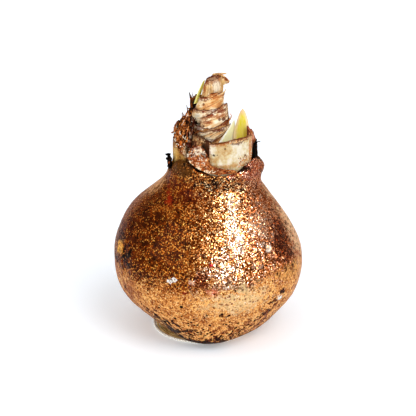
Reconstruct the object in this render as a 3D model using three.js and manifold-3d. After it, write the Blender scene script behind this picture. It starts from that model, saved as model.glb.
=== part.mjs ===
// A forced amaryllis (Hippeastrum) bulb, dipped in copper wax and standing on a coiled wire foot.
//
// The fleshy bulb is inside a thin coat of wax, which is open at the neck. What is left of the old
// leaves stands in that mouth: thick cut scales round the outside, thin dry tunics between them, a
// tall roll of papery sheaths in the middle, and two young shoots. A flat coil of wire holds the
// bulb upright, and its inner end turns up as a spike, pushed into the basal plate.
//
// Millimetres, +Z up. The origin is the middle of the wire foot's underside. The tall cut scale
// and the shoot beside it face -Y. Angles are degrees round an upright axis, from +X towards +Y.

import * as THREE from 'three';
import { mergeVertices } from 'three/addons/utils/BufferGeometryUtils.js';
import Module from 'manifold-3d';

const wasm = await Module();
wasm.setup();

// ---------------------------------------------------------------- driving dimensions

const GAP = 0.35; // air left between two pieces that touch
const WIRE = 1.2; // thickness of the wire
const FOOT_RADIUS = 25.4; // middle of the wire's outermost turn
const TURN_PITCH = 1.45; // from one turn to the next, wire and gap
const CLOSE_TURNS = 3.5; // turns that lie side by side
const INWARD_TURN = 0.55; // the part of a turn that takes it in to the middle
const SPIKE_HEIGHT = 26; // how far the wire's end stands up in the basal plate
const COAT_THICKNESS = 1.6; // the wax, with its glitter
const NECK_TOP = 88; // where the fleshy bulb ends and its separate scales stand on it
const NECK_RADIUS = 18.5; // the fleshy bulb inside the ring of outer scales
const SCALE_FOOT = 80.5; // where the outer scales go down inside the wax

// The waxed bulb's outline, as [radius, height], from under its middle to the neck's rim.
const COAT_OUTLINE = [
  [0, WIRE + GAP], [11, WIRE + GAP], [22, 2], [28.2, 4], [32.7, 8], [37.6, 14], [43.2, 22],
  [46.4, 32], [46.2, 42], [42.7, 52], [36.9, 62], [30.1, 70], [24.7, 75.6], [23.4, 79.6],
  [23.2, 83.4], [22.8, 85.4],
];
const OUTLINE_STEPS = 23;
const RIM_USUAL = 85.4;

// The wax ends in a ragged rim: its height in each direction, as [angle, height]. A film of wax climbs
// the scales at the front left, a crumpled lip stands up at the front right, and there is a chip between.
const RIM = [
  [-180, 81.9], [-163, 82.6], [-152, 88], [-143, 90.3], [-134, 91], [-124, 90], [-117, 88], [-110, 86.4],
  [-98, 85.5], [-66, 85.5], [-60, 87], [-52, 88.5], [-44, 89.2], [-34, 90.6], [-25, 90], [-14, 87.4],
  [0, 85.4], [60, 86.4], [120, 85.6], [150, 84.6], [164, 82.4], [180, 81.9],
];

// The bulb's middle wanders sideways as it goes up, as [height, x].
const BULB_LEAN = [
  [0, 2.1], [12, 3.4], [25, 2.4], [38, 2.1], [50, 0.3], [64, -0.1], [78, 4.3], [84, 5.5], [90, 5.8],
];
const SIDE_SAG = 0.7; // its left flank hangs this much lower than its right one

// ---------------------------------------------------------------- small helpers

const rad = THREE.MathUtils.degToRad;
const smoothstep = THREE.MathUtils.smoothstep;
const lerp = THREE.MathUtils.lerp;

/** The value at x of a smooth curve through a table of [x, value] points, held level past its ends. */
function along(table, x) {
  if (typeof table === 'number') return table;
  const last = table.length - 1;
  if (x <= table[0][0]) return table[0][1];
  if (x >= table[last][0]) return table[last][1];
  let k = 0;
  while (x > table[k + 1][0]) k += 1;
  const slope = (i) => {
    const a = table[Math.max(i - 1, 0)];
    const b = table[Math.min(i + 1, last)];
    return (b[1] - a[1]) / (b[0] - a[0]);
  };
  const [x0, y0] = table[k];
  const [x1, y1] = table[k + 1];
  const h = x1 - x0;
  const t = (x - x0) / h;
  return (2 * t ** 3 - 3 * t ** 2 + 1) * y0 + (t ** 3 - 2 * t ** 2 + t) * h * slope(k)
    + (3 * t ** 2 - 2 * t ** 3) * y1 + (t ** 3 - t ** 2) * h * slope(k + 1);
}

/** A repeatable number from -1 to 1 for a whole number and a seed. */
function chance(n, seed) {
  const s = Math.sin(n * 12.9898 + seed * 78.233) * 43758.5453;
  return 2 * (s - Math.floor(s)) - 1;
}

/** A torn edge: straight runs between random heights from -1 to 1, with a number of teeth over u. */
function torn(u, teeth, seed) {
  const at = u * teeth;
  const k = Math.floor(at);
  return lerp(chance(k, seed), chance(k + 1, seed), at - k);
}

/** A closed solid from a function of column and row. Rows may start or end in a single point. */
function solidFromGrid(
  columns, rows, point, { closed = true, startsAtPoint = false, endsAtPoint = false } = {},
) {
  const vertices = [];
  const faces = [];
  const width = closed ? columns : columns + 1;
  const id = (i, j) => {
    if (startsAtPoint && j === 0) return 0;
    if (endsAtPoint && j === rows) return (startsAtPoint ? 1 : 0) + (rows - (startsAtPoint ? 1 : 0)) * width;
    return (startsAtPoint ? 1 + (j - 1) * width : j * width) + (i % width);
  };
  for (let j = 0; j <= rows; j += 1) {
    const single = (startsAtPoint && j === 0) || (endsAtPoint && j === rows);
    for (let i = 0; i < (single ? 1 : width); i += 1) vertices.push(...point(i, j));
  }
  for (let j = 0; j < rows; j += 1) {
    for (let i = 0; i < columns; i += 1) {
      const [a, b, c, d] = [id(i, j), id(i + 1, j), id(i + 1, j + 1), id(i, j + 1)];
      if (a !== b) faces.push(a, b, c);
      if (c !== d) faces.push(a, c, d);
    }
  }
  const geometry = new THREE.BufferGeometry();
  geometry.setAttribute('position', new THREE.Float32BufferAttribute(vertices, 3));
  geometry.setIndex(faces);
  return geometry;
}

/** A three.js geometry as a manifold-3d solid. */
function toSolid(geometry) {
  const bare = geometry.clone();
  for (const name of Object.keys(bare.attributes)) if (name !== 'position') bare.deleteAttribute(name);
  const merged = mergeVertices(bare, 1e-4);
  return new wasm.Manifold(new wasm.Mesh({
    numProp: 3,
    vertProperties: merged.attributes.position.array,
    triVerts: new Uint32Array(merged.index.array),
  }));
}

/** A manifold-3d solid as a three.js geometry. */
function toGeometry(solid) {
  const mesh = solid.getMesh();
  const geometry = new THREE.BufferGeometry();
  geometry.setAttribute('position', new THREE.BufferAttribute(mesh.vertProperties, 3));
  geometry.setIndex(new THREE.BufferAttribute(mesh.triVerts, 1));
  return geometry;
}

/** An upright round bar or hole cutter on the origin's axis. */
function uprightCylinder(radius, low, high) {
  return new THREE.CylinderGeometry(radius, radius, high - low, 16)
    .rotateX(Math.PI / 2)
    .translate(0, 0, (low + high) / 2);
}

// ---------------------------------------------------------------- the bulb and its wax

/** The outline moved inwards, along its own normals. The wax gets thinner towards its rim. */
function inset(outline, thickness) {
  return outline.map(([r, z], i) => {
    const distance = thickness * lerp(1, 0.8, smoothstep(z, 76, 82));
    const [r0, z0] = outline[Math.max(i - 1, 0)];
    const [r1, z1] = outline[Math.min(i + 1, outline.length - 1)];
    const length = Math.hypot(r1 - r0, z1 - z0);
    return [Math.max(0, r - (distance * (z1 - z0)) / length), z + (distance * (r1 - r0)) / length];
  });
}

/** A point of the bulb, from its outline's radius and height: its lean, its soft swellings and its rim. */
function onBulb(r, z, angle) {
  const a = rad(angle);
  const body = smoothstep(z, 3, 16) * (1 - smoothstep(z, 66, 78));
  const swell = body * (0.011 * Math.sin(3 * a + 0.7 + z / 40) + 0.007 * Math.sin(5 * a - z / 13)
    + 0.006 * Math.sin(7 * a + z / 9 + 1.2) + 0.005 * Math.sin(2 * a + z / 7));
  const rim = along(RIM, angle) + 0.3 * torn((angle + 180) / 360, 30, 4);
  const lift = smoothstep(z, 76, RIM_USUAL) * (rim - RIM_USUAL) + body * SIDE_SAG * Math.cos(a);
  const roll = smoothstep(z, 79, 82) * (1 - 0.6 * smoothstep(z, 83, 85.4));
  const lip = 0.6 * roll * (1 + Math.sin(rad(5 * angle + 40))) * Math.exp(-(((angle + 20) / 60) ** 2));
  // Where the wax ran together before it set, the underside bulges out over the front of the foot.
  const run = Math.exp(-(((angle + 92) / 28) ** 2)) * (1 - smoothstep(z, 3, 22)) * smoothstep(r, 10, 30);
  const reach = r * (1 + swell) + lip + 4 * run;
  return [along(BULB_LEAN, z) + reach * Math.cos(a), reach * Math.sin(a), z + lift - 0.7 * run];
}

/** The waxed bulb's outline as many short steps. */
function coatOutline() {
  const curve = new THREE.SplineCurve(COAT_OUTLINE.map(([r, z]) => new THREE.Vector2(r, z)));
  return curve.getPoints(OUTLINE_STEPS).map((p) => [Math.max(p.x, 0), p.y]);
}

/** The wax: a shell over the bulb, open at the neck, with a small hole for the wire's spike. */
function waxCoat() {
  const columns = 40;
  const outside = coatOutline();
  const inside = inset(outside, COAT_THICKNESS).reverse();
  inside[inside.length - 1][0] = 0;
  const loop = [...outside, ...inside];
  const point = (i, j) => onBulb(...loop[j], (360 * i) / columns - 180);
  const ends = { startsAtPoint: true, endsAtPoint: true };
  const shell = solidFromGrid(columns, loop.length - 1, point, ends);
  return toGeometry(toSolid(shell).subtract(toSolid(uprightCylinder(WIRE / 2 + GAP + 0.1, -1, 8))));
}

/** The fleshy bulb inside the wax, up to where its scales part, with the spike's blind hole. */
function bulbBody() {
  const columns = 28;
  const skin = inset(coatOutline(), COAT_THICKNESS + 1.5 * GAP).filter(([, z]) => z < NECK_TOP - 13);
  skin[0][0] = 0;
  const outline = [...skin, [NECK_RADIUS + 1.2, NECK_TOP - 9.6], [NECK_RADIUS, NECK_TOP - 8.6],
    [NECK_RADIUS, NECK_TOP], [0, NECK_TOP]];
  const body = solidFromGrid(columns, outline.length - 1, (i, j) => {
    const [r, z] = outline[j];
    const angle = (360 * i) / columns - 180;
    if (z < NECK_TOP - 10) return onBulb(r, z, angle);
    return [along(BULB_LEAN, z) + r * Math.cos(rad(angle)), r * Math.sin(rad(angle)), z];
  }, { startsAtPoint: true, endsAtPoint: true });
  return toGeometry(toSolid(body).subtract(toSolid(uprightCylinder(WIRE / 2 + GAP, -1, SPIKE_HEIGHT + 1))));
}

// ---------------------------------------------------------------- the wire foot

/** The wire's middle line: close flat turns, then a wide bend in to the middle. */
class FootSpiral extends THREE.Curve {
  getPoint(t, target = new THREE.Vector3()) {
    const turn = t * (CLOSE_TURNS + INWARD_TURN);
    const inner = FOOT_RADIUS - TURN_PITCH * CLOSE_TURNS;
    const inwards = (turn - CLOSE_TURNS) / INWARD_TURN;
    const radius = turn < CLOSE_TURNS ? FOOT_RADIUS - TURN_PITCH * turn : inner * (1 - inwards ** 1.5);
    const a = 2 * Math.PI * turn + rad(60);
    return target.set(radius * Math.cos(a), radius * Math.sin(a), WIRE / 2);
  }
}

/** The coil of wire that the bulb stands on, flat under each turn, with its spike. */
function wireStand() {
  const corner = WIRE / 2 / Math.cos(Math.PI / 6);
  const section = new THREE.Shape();
  for (let k = 0; k < 6; k += 1) {
    const a = (Math.PI / 3) * k;
    section[k ? 'lineTo' : 'moveTo'](corner * Math.sin(a), corner * Math.cos(a));
  }
  const coil = new THREE.ExtrudeGeometry(section, { steps: 120, extrudePath: new FootSpiral() });
  return toGeometry(toSolid(coil).add(toSolid(uprightCylinder(WIRE / 2, 0, SPIKE_HEIGHT))));
}

// ---------------------------------------------------------------- scales, tunics and sheaths

/**
 * A thin curved sheet that stands round an upright axis: a cut scale, a dry tunic or a whole sheath.
 * from, to: its margins' angles, as a number or [share of height, angle] points; a sheath has none.
 * foot, top: its lower and upper edge's height, as a number or [share of width, height] points.
 * radius: of its middle surface, as [height, radius]. axis: its middle line, as [height, x] points.
 * flat: how much it is flattened front to back. tear, teeth, seed: its torn upper edge.
 * flare: how far its upper edge bends out. ripple: soft waves round it. crowd: above 1, its rows
 * of points lie closer together towards the top. core: a rolled sheath is solid up to this height.
 */
function sheet({ from = -180, to = 180, foot, top, radius, axis = BULB_LEAN, flat = 0, thick, tear = 0,
  teeth = 0, seed = 1, flare = 0, ripple = 0, crowd = 1, core = 0, columns, rows }) {
  const closed = from === -180 && to === 180;
  const surface = (i, j, side) => {
    const u = i / columns;
    const v = 1 - (1 - j / rows) ** crowd;
    const low = along(foot, u);
    const high = along(top, u) + (teeth ? tear * torn(u, teeth, seed) : 0);
    const z = lerp(low, high, v);
    const angle = lerp(along(from, v), along(to, v), u);
    const a = rad(angle);
    const margin = closed ? 1 : smoothstep(Math.min(u, 1 - u), -0.06, 0.1);
    const half = (thick / 2) * lerp(0.72, 1, margin) * lerp(1, 0.8, smoothstep(v, 0.8, 1));
    const r = along(radius, z) + flare * v ** 4 + side * half
      + ripple * (Math.sin(5 * a + 0.5 * z + seed) + 0.6 * Math.sin(9 * a - 0.3 * z + 2 * seed));
    const squash = 1 - flat * smoothstep(v, 0.2, 1);
    return [along(axis, z) + r * Math.cos(a), r * Math.sin(a) * squash, z];
  };
  if (core) {
    // A rolled sheath: from the middle of its foot, up its outside, over its rim and down into a cup.
    return solidFromGrid(columns, rows + 4, (i, j) => {
      if (j === 0) return [along(axis, along(foot, 0)), 0, along(foot, 0)];
      if (j <= rows + 1) return surface(i, j - 1, 1);
      const [x, y, z] = surface(i, rows, -1);
      const inwards = (j - rows - 2) / 2;
      return [lerp(x, along(axis, core), inwards ** 2), lerp(y, 0, inwards ** 2), lerp(z, core, inwards)];
    }, { startsAtPoint: true, endsAtPoint: true });
  }
  if (closed) {
    // A closed sheath is one ring-shaped loop: up its outside, over its rim, down its inside.
    const loop = 2 * rows + 1;
    return solidFromGrid(columns, loop + 1, (i, j) => {
      const k = j % (loop + 1);
      return k <= rows ? surface(i, k, 1) : surface(i, loop - k, -1);
    });
  }
  return openSheet(columns, rows, surface);
}

/** A closed solid between a surface's outer side, at side 1, and its inner side, at side -1. */
function openSheet(columns, rows, surface) {
  const vertices = [];
  const faces = [];
  const id = (i, j, side) => (side > 0 ? 0 : (columns + 1) * (rows + 1)) + j * (columns + 1) + i;
  for (const side of [1, -1]) {
    for (let j = 0; j <= rows; j += 1) {
      for (let i = 0; i <= columns; i += 1) vertices.push(...surface(i, j, side));
    }
  }
  const quad = (a, b, c, d) => faces.push(a, b, c, a, c, d);
  for (let j = 0; j < rows; j += 1) {
    for (let i = 0; i < columns; i += 1) {
      quad(id(i, j, 1), id(i + 1, j, 1), id(i + 1, j + 1, 1), id(i, j + 1, 1));
      quad(id(i, j, -1), id(i, j + 1, -1), id(i + 1, j + 1, -1), id(i + 1, j, -1));
    }
    quad(id(0, j, -1), id(0, j, 1), id(0, j + 1, 1), id(0, j + 1, -1));
    quad(id(columns, j, 1), id(columns, j, -1), id(columns, j + 1, -1), id(columns, j + 1, 1));
  }
  for (let i = 0; i < columns; i += 1) {
    quad(id(i, 0, -1), id(i + 1, 0, -1), id(i + 1, 0, 1), id(i, 0, 1));
    quad(id(i, rows, 1), id(i + 1, rows, 1), id(i + 1, rows, -1), id(i, rows, -1));
  }
  const geometry = new THREE.BufferGeometry();
  geometry.setAttribute('position', new THREE.Float32BufferAttribute(vertices, 3));
  geometry.setIndex(faces);
  return geometry;
}

/**
 * A young leaf or its wrap: a blade with an oval section that comes to a blunt point.
 * x, y: its middle line, as [height, place]. half, deep: half its width and depth, as [height, size].
 * turn: which way its flat side faces.
 */
function blade({ foot, tip, x, y, half, deep, turn = 0, columns = 14, rows = 10 }) {
  const a = rad(turn);
  return solidFromGrid(columns, rows + 1, (i, j) => {
    const v = Math.max(j - 1, 0) / rows;
    const z = j === 0 ? foot : lerp(foot, tip, 1 - (1 - v) ** 1.4);
    const round = (2 * Math.PI * i) / columns;
    const across = j === 0 || j === rows + 1 ? 0 : along(half, z) * Math.cos(round);
    const out = j === 0 || j === rows + 1 ? 0 : along(deep, z) * Math.sin(round);
    return [
      along(x, z) + across * Math.cos(a) - out * Math.sin(a),
      along(y, z) + across * Math.sin(a) + out * Math.cos(a),
      z,
    ];
  }, { startsAtPoint: true, endsAtPoint: true });
}

// The roll of sheaths leans: its middle line, as [height, x].
const ROLL = [[88, 3.6], [98, 3.2], [110, 3], [119, 4.2], [126, 5.2], [130, 5.4]];

const SCALES = {
  // The thick scale that was cut across, at the front.
  scale_front: {
    from: -98, to: -36.5, foot: SCALE_FOOT,
    top: [[0, 100.4], [0.2, 100.8], [0.42, 101.5], [0.6, 102.2], [1, 102.4]],
    radius: [[80, 19.95], [86, 20.1], [101, 20.5]], thick: 2.1, tear: 0.2, teeth: 12, seed: 3,
    columns: 18, rows: 4,
  },
  // A smooth ochre scale at the left, its edge under the tunic.
  scale_left: {
    from: 146, to: 228, foot: SCALE_FOOT, top: [[0, 93.6], [0.3, 97], [0.5, 98], [0.75, 96.8], [1, 93.6]],
    radius: [[80, 20], [98, 20]], thick: 1.3, tear: 0.3, teeth: 9, seed: 8, columns: 16, rows: 4,
  },
  // The cut scale at the back.
  scale_back: {
    from: 33, to: 141, foot: SCALE_FOOT, top: [[0, 94], [0.4, 95.6], [0.8, 95], [1, 94.2]],
    radius: [[80, 19.9], [96, 20.1]], thick: 1.9, tear: 0.3, teeth: 14, seed: 5, columns: 20, rows: 3,
  },
  scale_inner_back: {
    from: 10, to: 112, foot: NECK_TOP + GAP, top: [[0, 95.5], [0.5, 97.4], [1, 97]],
    radius: [[88, 15.6], [98, 15.9]], thick: 1.3, tear: 0.3, teeth: 12, seed: 15, columns: 18, rows: 3,
  },
  // Brown paper between the roll and the dry scale at the front left.
  scale_mid_left: {
    from: 205, to: 262, foot: NECK_TOP + GAP, top: [[0, 99], [0.3, 102.4], [0.7, 101.6], [1, 99.8]],
    radius: [[88, 15.2], [98, 15.6], [103, 14.4]], thick: 1.1, tear: 0.4, teeth: 8, seed: 21,
    columns: 12, rows: 4,
  },
  // A loose band of dry scale, wrinkled and free along its lower edge.
  collar_scale: {
    from: 233, to: 294, foot: [[0, 93.2], [0.1, 90.8], [0.15, 90], [0.3, 88.2], [0.52, 86.5], [1, 86.4]],
    top: [[0, 94.2], [0.06, 97.4], [0.17, 98.8], [0.3, 98.8], [0.4, 96.7], [0.44, 94.7], [0.48, 91.8],
      [0.535, 90.3], [0.69, 89.1], [0.89, 88], [1, 87.7]],
    radius: [[86, 22.6], [92, 22.6], [96, 21.9], [99, 20.7]], thick: 0.9, seed: 6, ripple: 0.08,
    columns: 22, rows: 4,
  },
  // A fibrous tunic over the ochre scale, with a torn edge that leans in towards the roll.
  tunic_left: {
    from: [[0, 203], [0.5, 199], [1, 190]], to: [[0, 231], [0.5, 229], [1, 222]],
    foot: [[0, 100.4], [0.3, 97.2], [0.7, 94], [1, 92.2]],
    top: [[0, 104.2], [0.2, 106.4], [0.45, 109], [0.8, 112.2], [1, 111.8]],
    radius: [[92, 21.5], [97, 21.4], [99, 20.9], [101, 20.2], [104, 19], [108, 17.2], [114, 14.2]],
    thick: 0.9, tear: 1.5, teeth: 11, seed: 7, ripple: 0.12, columns: 20, rows: 6,
  },
  // A thin tunic at the right, its edge falling away from the shoot.
  tunic_right: {
    from: -37, to: 26, foot: NECK_TOP + GAP,
    top: [[0, 106.6], [0.18, 104], [0.36, 101.4], [0.58, 97.8], [1, 95.6]],
    radius: [[88, 18.2], [98, 18.6], [107, 18.2]], thick: 0.8, tear: 0.4, teeth: 11, seed: 9, ripple: 0.06,
    columns: 16, rows: 5,
  },
  // A strip of dead skin behind the roll.
  tunic_back: {
    from: 98, to: [[0, 140], [0.55, 141], [0.8, 148], [1, 166]], foot: NECK_TOP + GAP,
    top: [[0, 108], [0.45, 115.6], [0.72, 116.4], [0.88, 114.9], [1, 119.3]], axis: ROLL,
    radius: [[88, 13], [104, 12.2], [112, 10.6], [119, 9.6]], thick: 0.8, tear: 0.5, teeth: 9, seed: 11,
    columns: 14, rows: 6,
  },
  // Blackened skin outside the tunic at the right.
  skin_right: {
    from: -27, to: 29, foot: SCALE_FOOT, top: [[0, 97.4], [0.3, 96.2], [0.6, 95.8], [1, 93.6]],
    radius: 19.85, thick: 0.8, tear: 0.8, teeth: 10, seed: 14, ripple: 0.06, columns: 14, rows: 4,
  },
  // A charred crumb in the chip of the wax rim.
  flake_left: {
    from: 168, to: 200, foot: [[0, 84.4], [0.5, 83.2], [1, 84.6]], top: [[0, 87.8], [0.5, 88.8], [1, 88.2]],
    radius: [[84, 22.1], [90, 22.8]], thick: 1.5, tear: 0.6, teeth: 7, seed: 17, columns: 10, rows: 3,
  },
  // The outermost sheath of the roll, open at the right, where its margin falls away.
  sheath_wrap: {
    from: 160, to: [[0, 240], [0.4, 262], [0.575, 278], [0.78, 302], [0.9, 326], [1, 334]],
    foot: NECK_TOP + GAP, top: [[0, 100.4], [0.3, 102.2], [0.6, 103.8], [1, 106.2]], axis: ROLL,
    radius: [[88, 9.3], [97, 10], [101, 10.5], [106, 11]], thick: 0.9, tear: 0.25, teeth: 10, seed: 23,
    flare: 0.15, ripple: 0.05, columns: 20, rows: 7,
  },
};

// The roll's whole sheaths, each inside the one before.
const SHEATHS = {
  sheath_low: {
    top: [[0, 106.6], [0.12, 105.2], [0.25, 106.4], [0.4, 108.6], [0.5, 108.2], [0.75, 106], [1, 106.6]],
    radius: [[88, 7.9], [99, 8.7], [104, 9.3], [108, 9.5]], thick: 0.8, tear: 0.3, teeth: 14, seed: 25,
    flare: 0.15,
  },
  sheath_middle: {
    top: [[0, 112], [0.12, 112.7], [0.25, 113.2], [0.38, 114], [0.5, 113.4], [0.75, 111.4], [1, 112]],
    radius: [[88, 6.8], [101, 7.6], [107, 8.3], [110, 8.1], [113, 7.5]], thick: 0.8, tear: 0.3, teeth: 13,
    seed: 27, flare: 0.1,
  },
  sheath_upper: {
    top: [[0, 117.2], [0.12, 118], [0.25, 120.4], [0.38, 120.4], [0.5, 119.6], [0.75, 118.6], [1, 117.2]],
    radius: [[88, 5.6], [104, 6.5], [110, 6.9], [113, 6.4], [116, 5.8], [120, 5.7]], thick: 0.8, tear: 0.35,
    teeth: 12, seed: 29, flare: 0.1, ripple: 0.05,
  },
};

const SHEATH_TOP = {
  top: [[0, 125], [0.25, 126.6], [0.5, 128.4], [0.75, 127.9], [1, 125]],
  radius: [[88, 4.2], [110, 4.5], [118, 4.6], [122, 4.5], [125.5, 3.9], [129, 2.9]], flat: 0.25, thick: 0.8,
  tear: 0.25, teeth: 12, seed: 31, core: 121,
};

/** A whole sheath of the roll, standing on the fleshy bulb. */
function sheath(form) {
  return sheet({ foot: NECK_TOP + GAP, axis: ROLL, crowd: 1.9, columns: 18, rows: 6, ...form });
}

/** The uppermost sheath, with the dry leaf tip that folds over to its right. */
function sheathTop() {
  // Its corners: at the sheath, out, down and back.
  const corners = [[6.4, -0.2, 129.1], [11, -1.6, 129.6], [12.4, -3, 125], [8.6, -2.4, 123.6]];
  const [columns, rows] = [6, 4];
  const flap = openSheet(columns, rows, (i, j, side) => {
    const [u, v] = [i / columns, j / rows];
    const crown = 0.9 * Math.sin(Math.PI * u) * Math.sin(Math.PI * v);
    const at = (k) => lerp(lerp(corners[3][k], corners[2][k], u), lerp(corners[0][k], corners[1][k], u), v);
    return [at(0) + 0.3 * side * 0.4, at(1) - crown - 0.4 * side, at(2)];
  });
  return toGeometry(toSolid(sheath(SHEATH_TOP)).add(toSolid(flap)));
}

const BLADES = {
  // The shoot at the right, behind the cut scale.
  shoot_right: {
    foot: NECK_TOP + GAP, tip: 113.4, x: [[88, 17.4], [98, 17.9], [106, 18.35], [113, 18.5]],
    y: [[88, -7.4], [113, -6.6]],
    half: [[88, 3.4], [98, 4], [102.6, 3.7], [106, 3], [109.5, 2.1], [112, 1.15], [113.4, 0.2]],
    deep: [[88, 1.8], [100, 1.8], [109, 1.4], [113.4, 0.2]], turn: -4,
  },
  // Its pale wrap, which rises from the roll to the shoot's side.
  shoot_wrap: {
    foot: NECK_TOP + GAP, tip: 107.6, x: [[88, 10], [97, 10.4], [102, 12.5], [105, 13.8], [107.6, 14.5]],
    y: [[88, -7.8], [97, -7.9], [102, -6.8], [108, -5]],
    half: [[88, 3.7], [97, 3.9], [102, 2.6], [105, 1.5], [107.6, 0.2]],
    deep: [[88, 0.8], [100, 0.7], [107.6, 0.15]], turn: 30, columns: 12,
  },
  // The shoot at the left, a thin leaf against the roll's upper sheaths.
  shoot_left: {
    foot: 113.6, tip: 125.3,
    x: [[110, -4.6], [114, -3.3], [119, -1.7], [123, -0.3], [125.3, 0.5]],
    y: [[110, 4.6], [119, 3.2], [125.3, 2]],
    half: [[110, 2.4], [119, 2.2], [123.5, 1.5], [125.3, 0.2]],
    deep: [[110, 0.6], [119, 0.6], [125.3, 0.15]], turn: 66, columns: 12,
  },
};

// ---------------------------------------------------------------- colours and assembly

/** A plain material of a colour, a roughness and a metalness. */
function finish(color, roughness, metalness = 0) {
  return new THREE.MeshStandardMaterial({ color, roughness, metalness });
}

const COPPER_WAX = finish(0x9a5a24, 0.35, 0.5);
const FLESH = finish(0xe9dfc0, 0.6);
const STEEL = finish(0xb9ad98, 0.3, 1);
const CUT_SCALE = finish(0xe8d5a4, 0.6);
const OCHRE_SCALE = finish(0xcf9d52, 0.6);
const PAPER = finish(0xd9ae7a, 0.7);
const PALE_PAPER = finish(0xe3dab8, 0.65);
const BROWN_PAPER = finish(0x8a5f3c, 0.75);
const TUNIC = finish(0x4d2610, 0.8);
const CHARRED = finish(0x17100c, 0.9);
const YOUNG_LEAF = finish(0xdccb3a, 0.5);
const PALE_LEAF = finish(0xe6e6c4, 0.5);

const FINISHES = {
  scale_front: CUT_SCALE, scale_left: OCHRE_SCALE, scale_back: CUT_SCALE,
  scale_inner_back: CUT_SCALE, scale_mid_left: BROWN_PAPER, collar_scale: PAPER, tunic_left: TUNIC,
  tunic_right: TUNIC, tunic_back: TUNIC, skin_right: CHARRED, flake_left: CHARRED, sheath_wrap: PALE_PAPER,
  sheath_low: PAPER, sheath_middle: PALE_PAPER, sheath_upper: PAPER, shoot_right: YOUNG_LEAF,
  shoot_wrap: PALE_LEAF, shoot_left: YOUNG_LEAF,
};

const bulb = new THREE.Group();

function place(name, geometry, material) {
  const mesh = new THREE.Mesh(geometry, material);
  mesh.name = name;
  bulb.add(mesh);
}

place('wire_stand', wireStand(), STEEL);
place('wax_coat', waxCoat(), COPPER_WAX);
place('bulb_body', bulbBody(), FLESH);
for (const [name, form] of Object.entries(SCALES)) place(name, sheet(form), FINISHES[name]);
for (const [name, form] of Object.entries(SHEATHS)) place(name, sheath(form), FINISHES[name]);
place('sheath_top', sheathTop(), PAPER);
for (const [name, form] of Object.entries(BLADES)) place(name, blade(form), FINISHES[name]);

export default bulb;
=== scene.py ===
"""The looks of a waxed amaryllis bulb on its coiled wire foot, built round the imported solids.

Every size is in millimetres until a mesh is made. Angles are degrees round an upright axis, from +X
towards +Y, and the tall cut scale and the shoot beside it face -Y.
"""

from __future__ import annotations

import logging
import math
from dataclasses import dataclass, replace
from enum import Enum
from typing import Callable, ClassVar, Iterator, Sequence, Union

import bpy
import numpy as np
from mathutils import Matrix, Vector


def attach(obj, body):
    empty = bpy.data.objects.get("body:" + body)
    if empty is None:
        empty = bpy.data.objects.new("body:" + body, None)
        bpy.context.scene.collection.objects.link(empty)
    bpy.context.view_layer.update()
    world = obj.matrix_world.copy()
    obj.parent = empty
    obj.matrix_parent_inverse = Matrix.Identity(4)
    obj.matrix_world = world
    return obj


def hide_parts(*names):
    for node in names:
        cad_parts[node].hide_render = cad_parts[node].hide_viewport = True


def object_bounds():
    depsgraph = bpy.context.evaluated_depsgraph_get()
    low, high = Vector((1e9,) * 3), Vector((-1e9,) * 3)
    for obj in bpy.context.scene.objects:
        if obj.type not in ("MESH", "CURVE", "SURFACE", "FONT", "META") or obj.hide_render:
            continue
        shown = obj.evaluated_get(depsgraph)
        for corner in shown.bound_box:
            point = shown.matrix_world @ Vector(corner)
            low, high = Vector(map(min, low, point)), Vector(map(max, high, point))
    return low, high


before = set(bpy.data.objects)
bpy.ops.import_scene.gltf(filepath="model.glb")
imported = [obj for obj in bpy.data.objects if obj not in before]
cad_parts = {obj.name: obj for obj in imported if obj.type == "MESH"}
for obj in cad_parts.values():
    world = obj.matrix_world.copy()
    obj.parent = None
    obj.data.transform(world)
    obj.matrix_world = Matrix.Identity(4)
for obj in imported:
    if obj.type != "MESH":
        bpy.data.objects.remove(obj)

LOG = logging.getLogger("waxed_bulb")
CAD_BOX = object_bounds()
MM = 0.001

Array = np.ndarray
Span = tuple[float, float]
Table = Sequence[Span]
Along = Union[float, Table]
Point = tuple[float, float, float]
Path = tuple[Point, ...]
Rgb = tuple[float, float, float]
Tint = tuple[float, float, float, float]
Socket = bpy.types.NodeSocket
Sockets = Sequence[Socket]
Value = Union[float, Socket]
Paint = Union[Tint, Socket]

# ---- the solids' own formulas

GAP = 0.35
WIRE = 1.2
FOOT_RADIUS = 25.4
FOOT_START = 60.0
TURN_PITCH = 1.45
CLOSE_TURNS = 3.5
INWARD_TURN = 0.55
SPIKE_HEIGHT = 26.0
COAT_THICKNESS = 1.6
NECK_TOP = 88.0
# The inner leaves stand on the bulb's cut top, the outer scales in the gap between it and the wax.
SEAT = NECK_TOP + GAP
SCALE_FOOT = 80.5
RIM_USUAL = 85.4
SIDE_SAG = 0.7
RUN_DOWN = -92.0
RUN_REACH = 4.0
RUN_DROP = 0.7
TUCK = -142.0
TUCK_DEPTH = 2.6

# The waxed bulb's outline, as (radius, height), from under its middle to the neck's rim.
COAT_OUTLINE: Table = (
    (0, WIRE + GAP), (11, WIRE + GAP), (22, 2), (28.2, 4), (32.7, 8), (37.6, 14), (43.2, 22),
    (46.4, 32), (46.2, 42), (42.7, 52), (36.9, 62), (30.1, 70), (24.7, 75.6), (23.4, 79.6),
    (23.2, 83.4), (22.8, 85.4),
)
# The wax's ragged rim: its height in each direction.
RIM: Table = (
    (-180, 81.9), (-163, 82.6), (-152, 88), (-143, 90.3), (-134, 91), (-124, 90), (-117, 88),
    (-110, 86.4), (-98, 85.5), (-66, 85.5), (-60, 87), (-52, 88.5), (-44, 89.2), (-34, 90.6), (-25, 90),
    (-14, 87.4), (0, 85.4), (60, 86.4), (120, 85.6), (150, 84.6), (164, 82.4), (180, 81.9),
)
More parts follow.
